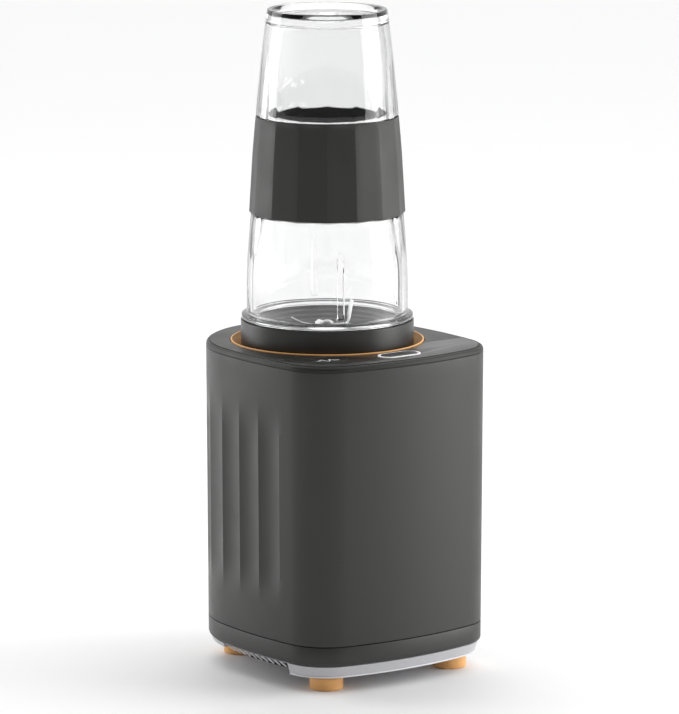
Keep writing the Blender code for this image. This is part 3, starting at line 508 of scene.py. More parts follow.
def helper(name, bm):
    """A hidden mesh for a Boolean. It is removed once used."""
    made = bpy.data.objects.new(name, finish_mesh(name, bm))
    bpy.context.scene.collection.objects.link(made)
    return made


def rod(name, at, radius, low, high, steps=32):
    """A hidden upright cylinder for a Boolean."""
    corners = ((0.0, high), (radius, high), (radius, low), (0.0, low))
    return helper(name, revolved(corners, steps, at, 0.01, 1))


def with_boolean(obj, other, operation="DIFFERENCE", angle=30.0):
    """Applies one Boolean to a piece and removes the other mesh."""
    step = obj.modifiers.new("bool", "BOOLEAN")
    step.operation = operation
    step.solver = "EXACT"
    step.object = other
    return applied(obj, [other], angle)


def applied(obj, helpers=(), angle=30.0):
    """Makes a piece's modifiers real."""
    graph = bpy.context.evaluated_depsgraph_get()
    graph.update()
    mesh = bpy.data.meshes.new_from_object(obj.evaluated_get(graph))
    obj.modifiers.clear()
    obj.data = mesh
    mesh.shade_smooth()
    mesh.set_sharp_from_angle(angle=math.radians(angle))
    for other in helpers:
        bpy.data.objects.remove(other)
    return obj


def bevelled(obj, width):
    """Rounds a piece's sharp edges."""
    step = obj.modifiers.new("edge", "BEVEL")
    step.width = width * MM
    step.segments = 2
    step.limit_method = "ANGLE"
    step.angle_limit = math.radians(35.0)
    step.use_clamp_overlap = True
    return applied(obj)


def prism(outline, low, high):
    return bm_from_rings([[(x, y, z) for x, y in outline] for z in (low, high)])


def box_bm(bm, centre, size):
    """Adds a box to a bmesh, in mm from the axis."""
    made = bmesh.ops.create_cube(bm, size=1.0)["verts"]
    bmesh.ops.scale(bm, vec=Vector(size) * MM, verts=made)
    bmesh.ops.translate(bm, vec=place(*centre), verts=made)


def arc(centre, radius, start, end, count):
    step = (end - start) / (count - 1)
    angles = [start + i * step for i in range(count)]
    return [(centre[0] + radius * math.cos(a), centre[1] + radius * math.sin(a)) for a in angles]


def pill(size, at, turn=0.0, grow=0.0):
    """A slot-shaped outline."""
    radius = size[1] / 2 + grow
    reach = (size[0] - size[1]) / 2
    right = arc((reach, 0.0), radius, -math.pi / 2, math.pi / 2, 24)
    left = arc((-reach, 0.0), radius, math.pi / 2, 3 * math.pi / 2, 24)
    c, s = math.cos(turn), math.sin(turn)
    return [(at[0] + x * c - y * s, at[1] + x * s + y * c) for x, y in right + left]


def polar(radius, degrees):
    a = math.radians(degrees)
    return radius * math.cos(a), radius * math.sin(a)


def smooth(low, high, value):
    t = min(1.0, max(0.0, (value - low) / (high - low)))
    return t * t * (3 - 2 * t)


def along(table, x):
    """Straight-line interpolation in (x, value) pairs sorted by x."""
    if x <= table[0][0]:
        return table[0][1]
    for (x0, v0), (x1, v1) in zip(table, table[1:]):
        if x <= x1:
            return v0 + (v1 - v0) * (x - x0) / (x1 - x0)
    return table[-1][1]


# ---- the base's plan outline --------------------------------------------------------------------
FRONT_CENTRE = Vector((0.0, FRONT_Y + FRONT_R))
SIDE_CENTRE = Vector((SIDE_R - HALF_WIDTH, SIDE_Y))
BACK_CENTRE = Vector((0.0, BACK_Y))
BACK_R = SIDE_R - (SIDE_CENTRE - BACK_CENTRE).length


def corner_centre():
    r1, r2 = FRONT_R - CORNER_R, SIDE_R - CORNER_R
    between = SIDE_CENTRE - FRONT_CENTRE
    d = between.length
    reach = (r1 * r1 - r2 * r2 + d * d) / (2 * d)
    off = math.sqrt(r1 * r1 - reach * reach)
    unit = between / d
    return FRONT_CENTRE + unit * reach + Vector((unit.y, -unit.x)) * off


CORNER_CENTRE = corner_centre()


def heading(vector):
    return math.atan2(vector.y, vector.x) % TAU


FRONT_ANGLE = heading(CORNER_CENTRE - FRONT_CENTRE)
CORNER_ANGLE = heading(CORNER_CENTRE - SIDE_CENTRE)
BACK_ANGLE = heading(BACK_CENTRE - SIDE_CENTRE)
LEFT_ARCS = (
    (FRONT_CENTRE, FRONT_R, 1.5 * math.pi, FRONT_ANGLE),
    (CORNER_CENTRE, CORNER_R, FRONT_ANGLE, CORNER_ANGLE),
    (SIDE_CENTRE, SIDE_R, CORNER_ANGLE, BACK_ANGLE),
    (BACK_CENTRE, BACK_R, BACK_ANGLE, 0.5 * math.pi),
)
ARC_LENGTHS = [radius * (start - end) for _, radius, start, end in LEFT_ARCS]


def outline_at(distance):
    for (centre, radius, start, _), length in zip(LEFT_ARCS, ARC_LENGTHS):
        if distance <= length + 1e-6:
            break
        distance -= length
    angle = start - distance / radius
    normal = Vector((math.cos(angle), math.sin(angle)))
    return centre + normal * radius, normal


def spread(start, end, count):
    return [start + (end - start) * i / count for i in range(count)]


def first_flute():
    turn = math.asin((FLUTE_START_Y - SIDE_Y) / SIDE_R) - math.asin(
        (CORNER_CENTRE.y - SIDE_Y) / (SIDE_R - CORNER_R)
    )
    return ARC_LENGTHS[0] + ARC_LENGTHS[1] + turn * SIDE_R


def left_stations(front=14, corner=16, rear=28, per_flute=14):
    """(distance, flute depth from 0 to 1) along the left half, ends included."""
    to_corner = ARC_LENGTHS[0]
    to_side = to_corner + ARC_LENGTHS[1]
    first = first_flute()
    last = first + FLUTE_COUNT * FLUTE_PITCH
    stations = [(d, 0.0) for d in spread(0.0, to_corner, front)]
    stations += [(d, 0.0) for d in spread(to_corner, to_side, corner)]
    stations += [(d, 0.0) for d in spread(to_side, first, 3)]
    for k in range(FLUTE_COUNT * per_flute):
        t = (k % per_flute) / per_flute
        stations.append((first + k * FLUTE_PITCH / per_flute, 1.0 - (2 * t - 1) ** 2))
    stations += [(d, 0.0) for d in spread(last, sum(ARC_LENGTHS), rear)]
    stations.append((sum(ARC_LENGTHS), 0.0))
    return stations


def plan(inset=0.0, flute=0.0, **detail):
    left = []
    for distance, depth in left_stations(**detail):
        point, normal = outline_at(distance)
        left.append(point - normal * (inset + SKIN + flute * depth))
    right = [(-p.x, p.y) for p in left[1:-1]]
    return right + [(p.x, p.y) for p in reversed(left)]


def draft_at(z):
    return DRAFT * (DECK_TOP - z) / (DECK_TOP - SKIRT_TOP)


def plan_ring(z, inset=0.0, flute=0.0, **detail):
    return [(x, y, z) for x, y in plan(inset + draft_at(z), flute, **detail)]


EVEN = {"per_flute": 6}


def front_of(outline, limit):
    kept = []
    for (ax, ay), (bx, by) in zip(outline, outline[1:] + outline[:1]):
        if ay <= limit:
            kept.append((ax, ay))
        if (ay < limit) != (by < limit):
            t = (limit - ay) / (by - ay)
            kept.append((ax + t * (bx - ax), limit))
    return kept


# ---- base ---------------------------------------------------------------------------------------
def housing():
    """The fluted housing, its flutes fading out above and below."""
    low, high = SKIRT_TOP + 0.15, RIM_BOTTOM - 0.12
    heights = [low + 0.35, 30.0, 36.0] + [40.0 + 1.6 * i for i in range(16)]
    heights += [70.0 + 12.0 * i for i in range(5)] + [122.0 + 1.8 * i for i in range(15)]
    heights += [152.0, 158.0, high - 0.35]

    def deep(z):
        return smooth(39, 62, z) * (1 - smooth(122, 148, z))

    rings = [plan_ring(low, 0.35), plan_ring(low + 0.1, 0.1)]
    rings += [plan_ring(z, 0.0, FLUTE_DEPTH * deep(z)) for z in heights]
    rings += [plan_ring(high - 0.1, 0.03), plan_ring(high, 0.15), plan_ring(high, 3.7)]
    rings += [plan_ring(low, 3.7)]
    mesh = finish_mesh("housing_shell", bm_from_rings(rings, closed=True), 12.0)
    made = piece("housing_shell", mesh, "charcoal_plastic", "base",
                 ["base_housing"])
    rear = BACK_Y + BACK_R
    turns = spread(0.0, TAU, 48)
    hole = [[(CORD_HOLE_R * math.cos(a), y, CORD_Z + CORD_HOLE_R * math.sin(a)) for a in turns]
            for y in (rear - 12.0, rear + 6.0)]
    with_boolean(made, helper("cord_cutter", bm_from_rings(hole)), angle=12.0)


def skirt():
    low, high = SKIRT_BOTTOM, SKIRT_TOP - 0.15
    shape = [(low, 1.5), (low + 0.1, 0.75), (low + 0.5, 0.3), (low + 1.1, 0.08), (low + 2.0, 0.0)]
    shape += [(high - 0.35, 0.0), (high - 0.1, 0.1), (high, 0.35), (high, 2.4), (low, 2.4)]
    rings = [plan_ring(z, inset, **EVEN) for z, inset in shape]
    mesh = finish_mesh("skirt_band", bm_from_rings(rings, closed=True), 40.0)
    piece("skirt_band", mesh, "charcoal_plastic", "base", ["base_skirt"])


def rear_of(name, outline, limit, low, high, end=100.0):
    """A hidden solid: the part of an outline between this limit and this end."""
    cut = bmesh.new()
    box_bm(cut, (0.0, limit - 50.0, 10.0), (200, 100, 60))
    box_bm(cut, (0.0, end + 50.0, 10.0), (200, 100, 60))
    return with_boolean(helper(name, prism(outline, low, high)), helper("limit_cutter", cut))


def side_x(y):
    """How far the outline's side is from the middle here."""
    return math.sqrt(SIDE_R ** 2 - (y - SIDE_Y) ** 2) - (SIDE_R - HALF_WIDTH) - SKIN


def side_strip(side, corners, ends):
    """Rings of a strip along a side, its section given as (inset, height) corners."""
    return [[(side * (side_x(y) - inset), y, z) for inset, z in corners] for y in ends]


def air_bars():
    """Pale bars that slope in under the skirt, with a black sheet of painted shade behind most of
    them.
    """
    high = SKIRT_BOTTOM - GAP
    profile = fillet([(1.1, high), (5.7, 9.0), (5.7, 9.6), (3.0, 12.2), (3.0, high)], 0.1, 2)
    # the black sheet's section: it stands in for the shade in the hollow under the skirt, painted
    # shade
    shade_sheet = ((5.5, 9.0), (6.3, 9.0), (6.3, ARCH_TOP - 0.05), (5.5, ARCH_TOP - 0.05))
    for side, word in ((-1, "left"), (1, "right")):
        bm = bmesh.new()
        for y in BAR_Y:
            ends = (y - BAR_WIDTH / 2, y + BAR_WIDTH / 2)
            add_rings(bm, side_strip(side, profile, ends))
        mesh = finish_mesh("air_bars_" + word, bm)
        piece("air_bars_" + word, mesh, "bar_plastic", "base")
        # the black sheet of painted shade runs from the arch's front back to the seventh bar
        ends = (ARCH_FRONT_Y + 0.2, BAR_Y[2], BAR_Y[6])
        mesh = finish_mesh("vent_shade_sheet_" + word, bm_from_rings(side_strip(side, shade_sheet, ends)))
        piece("vent_shade_sheet_" + word, mesh, "liner_black", "base")


def tray():
    """The pale tray: solid in front, arched behind, with a slotted floor."""
    top = SKIRT_BOTTOM - GAP
    shape = [(TRAY_BOTTOM, 12.0), (TRAY_BOTTOM, 4.0), (TRAY_BOTTOM + 0.1, 3.4),
             (TRAY_BOTTOM + 0.4, 3.0), (TRAY_BOTTOM + 0.8, 2.9), (top - 0.15, 1.15),
             (top, 1.3), (top, 2.8), (TRAY_TOP, 2.8), (TRAY_TOP, 4.6),
             (TRAY_FLOOR + 2.0, 4.7), (TRAY_FLOOR, 6.6)]
    rings = [plan_ring(z, inset, **EVEN) for z, inset in shape]
    mesh = finish_mesh("bottom_tray_shell", bm_from_rings(rings), 30.0)
    made = piece("bottom_tray_shell", mesh, "pale_grey_plastic", "base",
                 ["bottom_tray"])
    arch_tray(made)
    slots = bmesh.new()
    for i in range(5):
        box_bm(slots, (0.0, -16.0 + 8 * i, TRAY_FLOOR - 1), (44, 3, 8))
    with_boolean(made, helper("floor_cutter", slots))
    for at, seat in zip(SCREW_XY, SCREW_SEATS):
        with_boolean(made, rod("screw_boss", at, 5.2, seat - 2.3, seat + 2.7), "UNION")
        profile = ((0.0, seat + 5.0), (2.1, seat + 5.0), (2.1, seat), (3.9, seat), (3.9, 4.0),
                   (0.0, 4.0))
        with_boolean(made, helper("screw_cutter", revolved(profile, 32, at, 0.01, 1)))
    for at in FOOT_XY.values():
        if at[1] > ARCH_FRONT_Y:
            with_boolean(made, rod("foot_boss", at, 8.4, TRAY_BOTTOM, 13.0, 64), "UNION")
        with_boolean(made, rod("foot_cutter", at, 2.6, 4.0, 10.8))


def arch_tray(made):
    """Raises the tray's underside behind its front part, and opens its sides there."""
    shell, core = plan(3.5 + DRAFT, **EVEN), plan(ARCH_INSET + 1.5, **EVEN)
    ceiling = rear_of("arch_ceiling", shell, ARCH_FRONT_Y - 1.6, TRAY_FLOOR - 1.0,
                      ARCH_TOP + 1.7)
    with_boolean(ceiling, helper("ceiling_core", prism(core, TRAY_FLOOR - 3.0, 20.0)))
    with_boolean(made, ceiling, "UNION")
    wide = plan(-4.0, **EVEN)
    arches = (
        ("side_arch", ARCH_FRONT_Y, ARCH_REAR_Y, TRAY_BOTTOM - 3.0, ARCH_TOP, ARCH_INSET),
        ("rear_arch", ARCH_REAR_Y - 0.5, 100.0, TRAY_BOTTOM - 3.0, REAR_ARCH_TOP, ARCH_INSET),
        ("rim", ARCH_FRONT_Y, ARCH_REAR_Y, ARCH_TOP - 1.0, SKIRT_BOTTOM, 3.0),
    )
    for name, front, rear, low, high, depth in arches:
        cut = rear_of(name, wide, front, low, high, rear)
        with_boolean(cut, helper(name + "_core", prism(plan(depth, **EVEN), 0.0, 20.0)))
        with_boolean(made, cut)


def tray_lip():
    """The tray's bottom edge in front of the arch, in the paler bar plastic: a painted highlight.
    """
    shape = [(0.02, 3.8), (0.02, 3.2), (0.15, 2.75), (0.45, 2.5), (0.8, 2.6), (0.95, 2.9),
             (0.95, 3.8)]
    rings = [plan_ring(TRAY_BOTTOM + z, inset, **EVEN) for z, inset in shape]
    mesh = finish_mesh("tray_lip", bm_from_rings(rings, closed=True), 30.0)
    # the pale bar plastic here paints the highlight along the tray's bottom edge
    made = piece("tray_lip", mesh, "bar_plastic", "base")
    with_boolean(made, rear_of("lip_arch", plan(-4.0, **EVEN), ARCH_FRONT_Y, 0.0, ARCH_TOP))


def feet():
    shoulder = TRAY_BOTTOM - GAP
    profile = ((0.0, 9.8), (2.3, 9.8), (2.3, shoulder), (7.2, shoulder), (7.2, shoulder - 0.8),
               (FOOT_R, shoulder - 1.3), (FOOT_R, -LIFT), (0.0, -LIFT))
    for where, at in FOOT_XY.items():
        node_name = "foot_" + where
        turned("rubber_" + node_name, profile, "peach_rubber", "base",
               [node_name], 64, at, radius=0.9, count=5)


def cut_key_slots(made, grow):
    """Cuts both keys' openings, this much wider than the keys' outlines."""
    for size, at, turn in ((POWER_SIZE, POWER_XY, 0.0), (PULSE_SIZE, PULSE_XY, PULSE_TURN)):
        outline = pill(size, at, turn, grow=grow)
        with_boolean(made, helper("key_cutter", prism(outline, 155.0, 175.0)))


def deck():
    """The deck plate with its rounded rim, cut for the ring, the panel and the keys."""
    rim = [(RIM_BOTTOM, 4.2), (RIM_BOTTOM, 0.15), (RIM_BOTTOM + 0.1, 0.02)]
    for k in range(8):
        a = math.pi / 2 * k / 7
        rim.append((RIM_BOTTOM + 0.3 + 2.4 * math.sin(a), 1.55 * (1 - math.cos(a))))
    rim += [(DECK_TOP - 0.75, 1.6), (DECK_TOP - 0.75, 1.85), (DECK_TOP - 0.12, 1.85),
            (DECK_TOP, 2.0)]
    rings = [plan_ring(160.6, 6.0, **EVEN), plan_ring(160.6, 4.2, **EVEN)]
    rings += [plan_ring(z, inset, **EVEN) for z, inset in rim]
    edge = rings[-1]

    def circle(radius, z):
        """A ring of points, each at the heading of the outline's point of the same number."""
        angles = [math.atan2(y, x) for x, y, _ in edge]
        return [(radius * math.cos(a), radius * math.sin(a), z) for a in angles]

    hole = RING_R + GAP
    top = DECK_TOP
    rings += [circle(hole + 0.2, top), circle(hole, top - 0.2), circle(hole, DECK_UNDERSIDE)]
    rings.append(plan_ring(DECK_UNDERSIDE, 6.0, **EVEN))
    mesh = finish_mesh("deck_plate", bm_from_rings(rings, closed=True), 30.0)
    made = piece("deck_plate", mesh, "deck_plastic", "base", ["top_deck"])
    recess = front_of(plan(PANEL_INSET - 0.22, **EVEN), PANEL_BACK_Y + 0.22)
    with_boolean(made, helper("panel_cutter", prism(recess, PANEL_FLOOR, 175.0)))
    cut_key_slots(made, GAP)


def panel():
    """The glossy plate in front of the ring."""
    outline = front_of(plan(PANEL_INSET, **EVEN), PANEL_BACK_Y)
    mesh = finish_mesh("panel_plate", prism(outline, PANEL_FLOOR + 0.1, DECK_TOP))
    made = piece("panel_plate", mesh, "panel_gloss", "base", ["control_panel"])
    with_boolean(made, rod("ring_cutter", (0.0, 0.0), RING_R + GAP, 155.0, 175.0, 192))
    cut_key_slots(made, GAP / 2)
    bevelled(made, 0.12)


def accent_ring():
    profile = ((49.0, RING_TOP), (RING_R, RING_TOP - 0.1), (RING_R, 160.8), (45.5, 160.8),
               (45.5, 161.6), (48.5, RING_TOP - 1.2))
    turned("ring_accent", profile, "peach_plastic", "base", ["accent_ring"],
           192, radius=0.45, count=4)


def well():
    """The round well that holds the collar, drilled for the dampers and the plunger."""
    under = WELL_FLOOR - 2.2
    profile = ((52.4, 163.5), (52.4, 158.4), (47.2, 158.4), (47.2, under), (7.1, under),
               (7.1, WELL_FLOOR - 0.05), (WELL_R, WELL_FLOOR - 0.05), (WELL_R, 160.2),
               (51.0, 160.2), (51.0, 163.5))
    made = turned("well_shell", profile, "deck_plastic", "base",
                  ["coupling_well"], 128, radius=0.6)
    for angle in DAMPER_ANGLES:
        with_boolean(made, rod("boss_cutter", polar(DAMPER_R, angle), 2.2, 145.0, 155.0))
    at = polar(PLUNGER_R, PLUNGER_ANGLE)
    with_boolean(made, rod("plunger_cutter", at, 2.9, 145.0, 155.0))


def key_mesh(name, size, at, turn, top, dish):
    """A slot-shaped key with rounded edges and a slightly dished top."""
    steps = [(0.0, 163.0), (0.0, top - 0.35), (0.06, top - 0.15), (0.2, top - 0.04), (0.4, top)]
    rings = []
    for inset, z in steps:
        rings.append([(x, y, z) for x, y in pill(size, at, turn, grow=-GAP - inset)])
    deepest = size[1] / 2 - GAP
    for k in range(1, 6):
        inset = 0.4 + (deepest - 0.6) * k / 5
        sunk = dish * (1 - (1 - k / 5) ** 2)
        rings.append([(x, y, top - sunk) for x, y in pill(size, at, turn, grow=-GAP - inset)])
    bm = bm_from_rings(rings)
    stem = revolved(((0.0, 163.5), (2.5, 163.5), (2.5, 157.5), (0.0, 157.5)), 32, at, 0.3)
    mesh = bpy.data.meshes.new("stem")
    stem.to_mesh(mesh)
    stem.free()
    bm.from_mesh(mesh)
    return finish_mesh(name, bm, 35.0)


def keys():
    """Both keys' caps and the light ring round the power key."""
    length, width = POWER_SIZE
    inner = (length - 2 * LIGHT_RING_WIDTH, width - 2 * LIGHT_RING_WIDTH)
    mesh = key_mesh("power_key_cap", inner, POWER_XY, 0.0, DECK_TOP + 0.5, 0.3)
    piece("power_key_cap", mesh, "panel_gloss", "power_key", ["power_button"])
    mesh = key_mesh("pulse_key_cap", PULSE_SIZE, PULSE_XY, PULSE_TURN, DECK_TOP + 0.04, 0.25)
    piece("pulse_key_cap", mesh, "panel_gloss", "pulse_key", ["pulse_button"])
    rings = []
    shape = ((0.0, 164.3), (0.0, DECK_TOP + 0.1), (-0.12, DECK_TOP + 0.25),
             (-0.4, DECK_TOP + 0.3), (-0.9, DECK_TOP + 0.3), (-1.18, DECK_TOP + 0.22),
             (-LIGHT_RING_WIDTH, DECK_TOP + 0.05), (-LIGHT_RING_WIDTH, 164.3))
    for grow, z in shape:
        rings.append([(x, y, z) for x, y in pill(POWER_SIZE, POWER_XY, grow=grow)])
    mesh = finish_mesh("power_glow_ring", bm_from_rings(rings, closed=True), 40.0)
    piece("power_glow_ring", mesh, "light_guide", "base", ["power_light_ring"])


def ribbon(name, points, width, low, high, skin, body):
    """A thin raised line through these plan points."""
    left, right = [], []
    for i, (x, y) in enumerate(points):
        ax, ay = points[max(i - 1, 0)]
        bx, by = points[min(i + 1, len(points) - 1)]
        d = Vector((bx - ax, by - ay)).normalized()
        left.append((x - d.y * width / 2, y + d.x * width / 2))
        right.append((x + d.y * width / 2, y - d.x * width / 2))
    mesh = finish_mesh(name, prism(left + right[::-1], low, high))
    piece(name, mesh, skin, body)


def pulse_icon():
    """A generic wave mark on the pulse key."""
    wave = [(-6.4, 0.0), (-4.2, 0.0), (-2.6, 3.0), (0.0, -3.0), (2.4, 3.0), (4.0, 0.0), (6.4, 0.0)]
    c, s = math.cos(PULSE_TURN), math.sin(PULSE_TURN)
    points = [(PULSE_XY[0] - 1.4 + x * c - y * s, PULSE_XY[1] + x * s + y * c) for x, y in wave]
    top = DECK_TOP - 0.2
    ribbon("pulse_wave_mark", points, 1.35, top - 0.25, top + 0.06, "icon_ink", "pulse_key")


# ---- blade unit ---------------------------------------------------------------------------------
def collar():
    low = WELL_FLOOR + 0.7
    profile = ((42.7, COLLAR_TOP), (COLLAR_R, COLLAR_TOP), (COLLAR_R, low), (42.7, low),
               (42.7, 161.1), (39.6, 161.1), (39.6, 162.9), (42.7, 162.9))
    turned("collar_shell", profile, "collar_plastic", "collar",
           ["blade_collar"], 192, radius=0.7, count=5)


def seat():
    """The dished floor, with fine concentric rings."""
    top = [(5.2, 169.5), (9.0, 169.6)]
    for k in range(1, 60):
        r = 9.0 + 24.6 * k / 60
        z = along(((9.0, 169.6), (20.0, 172.6), (34.6, 179.0)), r)
        top.append((r, z - 0.12 - 0.12 * math.cos(TAU * r / 4.1)))
    top += [(34.2, 178.7), (34.9, 179.0), (35.9, 178.4)]
    rest = [(35.9, 165.4), (42.1, 165.4), (42.1, 163.5), (33.9, 163.5), (33.9, 175.3),
            (9.6, 167.3), (9.6, 162.1), (5.2, 162.1)]
    profile = top + rest
    turned("seat_dish", profile, "collar_plastic", "blade_unit",
           ["blade_seat"], 128, radius=0.25, count=2, angle=25.0)


def gasket():
    profile = ((41.9, 169.2), (41.9, 165.7), (36.5, 165.7), (36.5, 169.2))
    turned("seal_ring", profile, "silicone", "blade_unit", ["blade_gasket"], 128,
           radius=0.8, count=4)


def blade(name, cad, turn, arms, hub_z):
    """A ground, sharpened two-armed blade. Each arm is (radius, height, half width)."""
    left, right = arms
    stations = [(-r, z, w) for r, z, w in reversed(left)] + [(r, z, w) for r, z, w in right]
    fine = []
    for (r0, z0, w0), (r1, z1, w1) in zip(stations, stations[1:]):
        for k in range(4):
            t = k / 4
            fine.append((r0 + (r1 - r0) * t, z0 + (z1 - z0) * t, w0 + (w1 - w0) * t))
    fine.append(stations[-1])
    bm = bmesh.new()
    rows = []
    c, s = math.cos(turn), math.sin(turn)
    for i, (r, z, w) in enumerate(fine):
        a, b = fine[max(i - 1, 0)], fine[min(i + 1, len(fine) - 1)]
        tangent = Vector((b[0] - a[0], b[1] - a[1])).normalized()
        normal = Vector((-tangent.y, tangent.x))
        ground = min(1.6, w * 0.7)
        section = ((-w, 0.0), (-w + ground, 0.45), (w - ground, 0.45), (w, 0.0),
                   (w - ground, -0.45), (-w + ground, -0.45))
        row = []
        for side, up in section:
            lx, ly, lz = r + normal.x * up, side, z + normal.y * up
            x, y = lx * c - ly * s, lx * s + ly * c
            row.append(bm.verts.new(place(x, y, lz)))
        rows.append(row)
    for a, b in zip(rows, rows[1:]):
        for i in range(6):
            j = (i + 1) % 6
            bm.faces.new((a[i], a[j], b[j], b[i]))
    bm.faces.new(rows[0])
    bm.faces.new(rows[-1])
    made = piece(name, finish_mesh(name, bm, 20.0), "blade_steel", "blades", [cad])
    hole = rod("hub_cutter", (0.0, 0.0), 2.65, hub_z - 4, hub_z + 4)
    return with_boolean(made, hole, angle=20)


def blades():
    """The low blade, the high blade with its upright arm, and the cap nut."""
    flat = (7.0, 170.9, 4.6)
    low_arm = (flat, (13.0, 172.6, 3.6), (18.3, 174.15, 0.9))
    blade("blade_low", "lower_blade", math.radians(66.8), (low_arm, low_arm), 170.9)
    near = (7.0, 172.2, 4.4)
    tall_arm = (near, (9.2, 172.8, 4.4), (10.4, 174.6, 4.4), (13.1, 187.6, 3.4))
    short_arm = (near, (12.0, 174.0, 3.6), (18.8, 179.5, 0.9))
    blade("blade_high", "upper_blade", math.radians(-23.2), (short_arm, tall_arm), 172.2)
    nut = ((0.0, 177.4), (1.5, 177.1), (2.7, 176.3), (3.4, 175.2), (3.7, 174.0), (3.7, 173.1),
           (2.75, 173.1), (2.75, 175.8), (0.0, 175.8))
    turned("dome_nut", nut, "steel", "blades", ["blade_nut"], 48, radius=0.6, count=3)


# ---- cup ----------------------------------------------------------------------------------------
CUP_RADII = (  # (height above the ring's lip, outer radius)
    (16.0, 41.5), (29.0, 41.5), (35.0, 41.3), (41.2, 41.05), (47.4, 40.6), (53.7, 40.1),
    (59.9, 39.56), (64.6, 39.15), (116.0, 36.5), (121.9, 36.0), (128.1, 35.4), (134.2, 34.8),
    (140.4, 34.25), (146.5, 33.6), (152.7, 32.9), (158.8, 32.1), (165.0, 31.4), (167.8, 31.0),
)
CUP_WALL = 2.9
RECESS = 1.2
RIBS = (-27.0, 63.0, 153.0, 243.0)  # degrees from -Y towards +X
RIB_HALF = 1.6
RIB_TALL = 50.0


def facet_share(z):
    """How far the outer wall is flattened into facets at this height above the lip."""
    return smooth(40.0, 66.0, z) * (1 - smooth(116.0, 152.0, z))


def facet_factor(angle):
    """Share of the full radius on a facet's flat, 1 at its edges."""
    width = TAU / FACETS
    off = ((angle - FACET_TURN) % width) - width / 2
    return math.cos(math.pi / FACETS) / math.cos(off)


def cup_angles():
    per = 12
    angles = [FACET_TURN + TAU * k / (FACETS * per) for k in range(FACETS * per)]
    for rib in RIBS:
        middle = math.radians(rib - 90)
        for mm_off in (-1.85, -1.7, -1.5, -1.35, -0.8, 0.0, 0.8, 1.35, 1.5, 1.7, 1.85):
            angles.append(middle + mm_off / 38.0)
    angles = sorted(a % TAU for a in angles)
    kept = [angles[0]]
    for a in angles[1:]:
        if a - kept[-1] > 0.0035:
            kept.append(a)
    return kept


def rib_height(angle, z):
    """How far a rib stands in from the wall here."""
    if z > RIB_TALL:
        return 0.0
    tall = 2.1 * smooth(0.0, 1.0, (RIB_TALL - z) / 12.0)
    best = 0.0
    for rib in RIBS:
        middle = math.radians(rib - 90)
        off = abs((angle - middle + math.pi) % TAU - math.pi) * 38.0
        best = max(best, tall * (1 - smooth(RIB_HALF - 0.2, RIB_HALF + 0.2, off)))
    return best


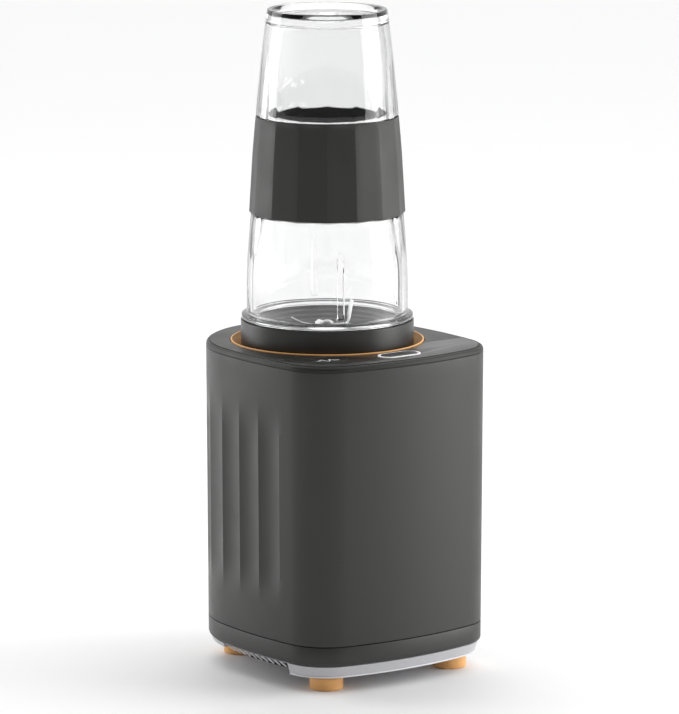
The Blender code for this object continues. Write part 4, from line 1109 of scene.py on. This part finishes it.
def cup():
    """The clear cup, mouth down: faceted outside, ribbed inside, with a recessed base."""
    angles = cup_angles()

    def ring(z, radius, flats=0.0, ribs=0.0):
        line = []
        for a in angles:
            r = radius * (1 + flats * (facet_factor(a) - 1)) - ribs * rib_height(a, z)
            line.append((r * math.cos(a), r * math.sin(a), z + RING_TOP))
        return line

    def outer(z):
        return ring(z, along(CUP_RADII, z), facet_share(z))

    def inner(z, step=0.0):
        return ring(z, along(CUP_RADII, z) - CUP_WALL - step, 0.0, 1.0)

    rings = []
    # recessed base, from the middle out, then the rounded rim
    base = fillet([(6.4, 166.6), (26.6, 166.6), (28.4, 170.15), (30.6, 170.15), (31.0, 167.6)],
                  0.9, 5, closed=False)
    boss = [(0.6, 166.7), (3.6, 166.7), (4.1, 166.95), (4.5, 167.5), (5.1, 167.7), (5.7, 167.5),
            (6.1, 166.95)]
    rings += [ring(z, r) for r, z in boss + base[:-1]]
    above = [167.6, 166.0, 164.0, 160.0] + [158.0 - 3.0 * k for k in range(14)]
    rings += [outer(z) for z in above if z > 116.2]
    rings.append(ring(115.9, along(CUP_RADII, 115.9), 1.0))
    groove = [(115.5, 36.6 - RECESS), (112.0, 36.7 - RECESS), (68.0, 39.0 - RECESS),
              (65.1, 39.2 - RECESS)]
    rings.append(ring(115.6, 36.35, 1.0))
    rings += [ring(z, min(r, along(CUP_RADII, z) * math.cos(math.pi / FACETS) - 0.15))
              for z, r in groove]
    rings.append(ring(65.0, 38.9, 1.0))
    rings += [outer(z) for z in [64.7] + [62.0 - 2.5 * k for k in range(18)] if z > 17]
    flange = fillet([(41.5, 17.0), (41.5, 13.6), (44.15, 13.2), (44.15, 10.95), (41.2, 10.95),
                     (41.0, 1.7), (37.6, 1.7), (37.6, 5.0)], 0.6, 4, closed=False)
    rings += [ring(z, r) for r, z in flange]
    ledge = fillet([(37.6, 9.0), (37.6, 11.2), (35.5, 11.6), (35.5, 13.2), (38.6, 13.5),
                    (38.6, 15.6)], 0.25, 4, closed=False)
    rings += [ring(z, r) for r, z in ledge]
    rings += [inner(z) for z in (16.4, 19.0, 22.0, 25.0, 28.0, 31.0, 34.0, 37.0)]
    rings += [inner(z) for z in [39.0 + 1.5 * k for k in range(8)]]
    rings += [inner(z) for z in (56, 62, 68, 76, 84, 92, 100, 108, 116, 124, 132, 140, 148, 154)]
    ceiling = fillet([(29.1, 158.0), (28.4, 163.4), (6.3, 163.4)], 1.6, 5, closed=False)
    rings += [ring(z, r) for r, z in ceiling]
    inner_boss = [(6.0, 163.1), (5.6, 162.8), (4.6, 162.8), (4.2, 163.1), (3.8, 163.35),
                  (0.6, 163.4)]
    rings += [ring(z, r) for r, z in inner_boss]
    mesh = finish_mesh("cup_clear", bm_from_rings(rings), 50.0)
    piece("cup_clear", mesh, "clear_cup", "cup", ["blending_cup"])


def sleeve():
    """The faceted grip sleeve, its facets crisp and its top edge round."""
    per = 8
    count = FACETS * per

    def ring(z, radius, faceted, soft=0.0):
        line = []
        for k in range(count):
            a = FACET_TURN + TAU * k / count
            flat = facet_factor(a)
            if k % per == 0:
                flat = 1.0
            r = radius * (1 + faceted * (flat - 1)) - (soft if k % per == 0 else 0.0)
            line.append((r * math.cos(a), r * math.sin(a), z + RING_TOP))
        return line

    low, high = 65.4, 115.2
    inner_low, inner_high = 39.2 - RECESS + GAP, 36.6 - RECESS + GAP
    shape = [(low, 39.5, 1.0), (low + 0.15, 39.9, 1.0), (low + 0.6, 40.15, 1.0)]
    shape += [(z, along(((low, 40.2), (high - 18, 38.3), (high, 36.75)), z), 1.0)
              for z in [low + 1.5, 72.0, 80.0, 88.0, 96.0, 104.0, 109.0, 112.0]]
    shape += [(113.6, 36.85, 0.85), (114.4, 36.75, 0.6), (114.9, 36.65, 0.3),
              (high - 0.1, 36.5, 0.1), (high, 36.25, 0.0)]
    rings = [ring(z, r, f, 0.12 * f) for z, r, f in shape]
    rings += [ring(high, inner_high, 0.0), ring(low, inner_low, 0.0)]
    mesh = finish_mesh("sleeve_grip", bm_from_rings(rings, closed=True), 14.0)
    piece("sleeve_grip", mesh, "sleeve_rubber", "cup", ["cup_sleeve"])


# ---- the CAD nodes that are kept ----------------------------------------------------------------
def dress_nodes():
    """Gives every CAD node that still shows its procedural material."""
    for row in frame["record"]["subparts"]:
        held = NODES[row["node"]]
        held.data.materials.clear()
        held.data.materials.append(MATERIALS[row["material_slot"]])


MATERIALS = make_materials()
make_camera()
make_studio()
bpy.context.scene.view_settings.view_transform = "Standard"
dress_nodes()
housing()
skirt()
tray()
tray_lip()
air_bars()
feet()
deck()
panel()
accent_ring()
well()
keys()
pulse_icon()
collar()
seat()
gasket()
blades()
cup()
sleeve()
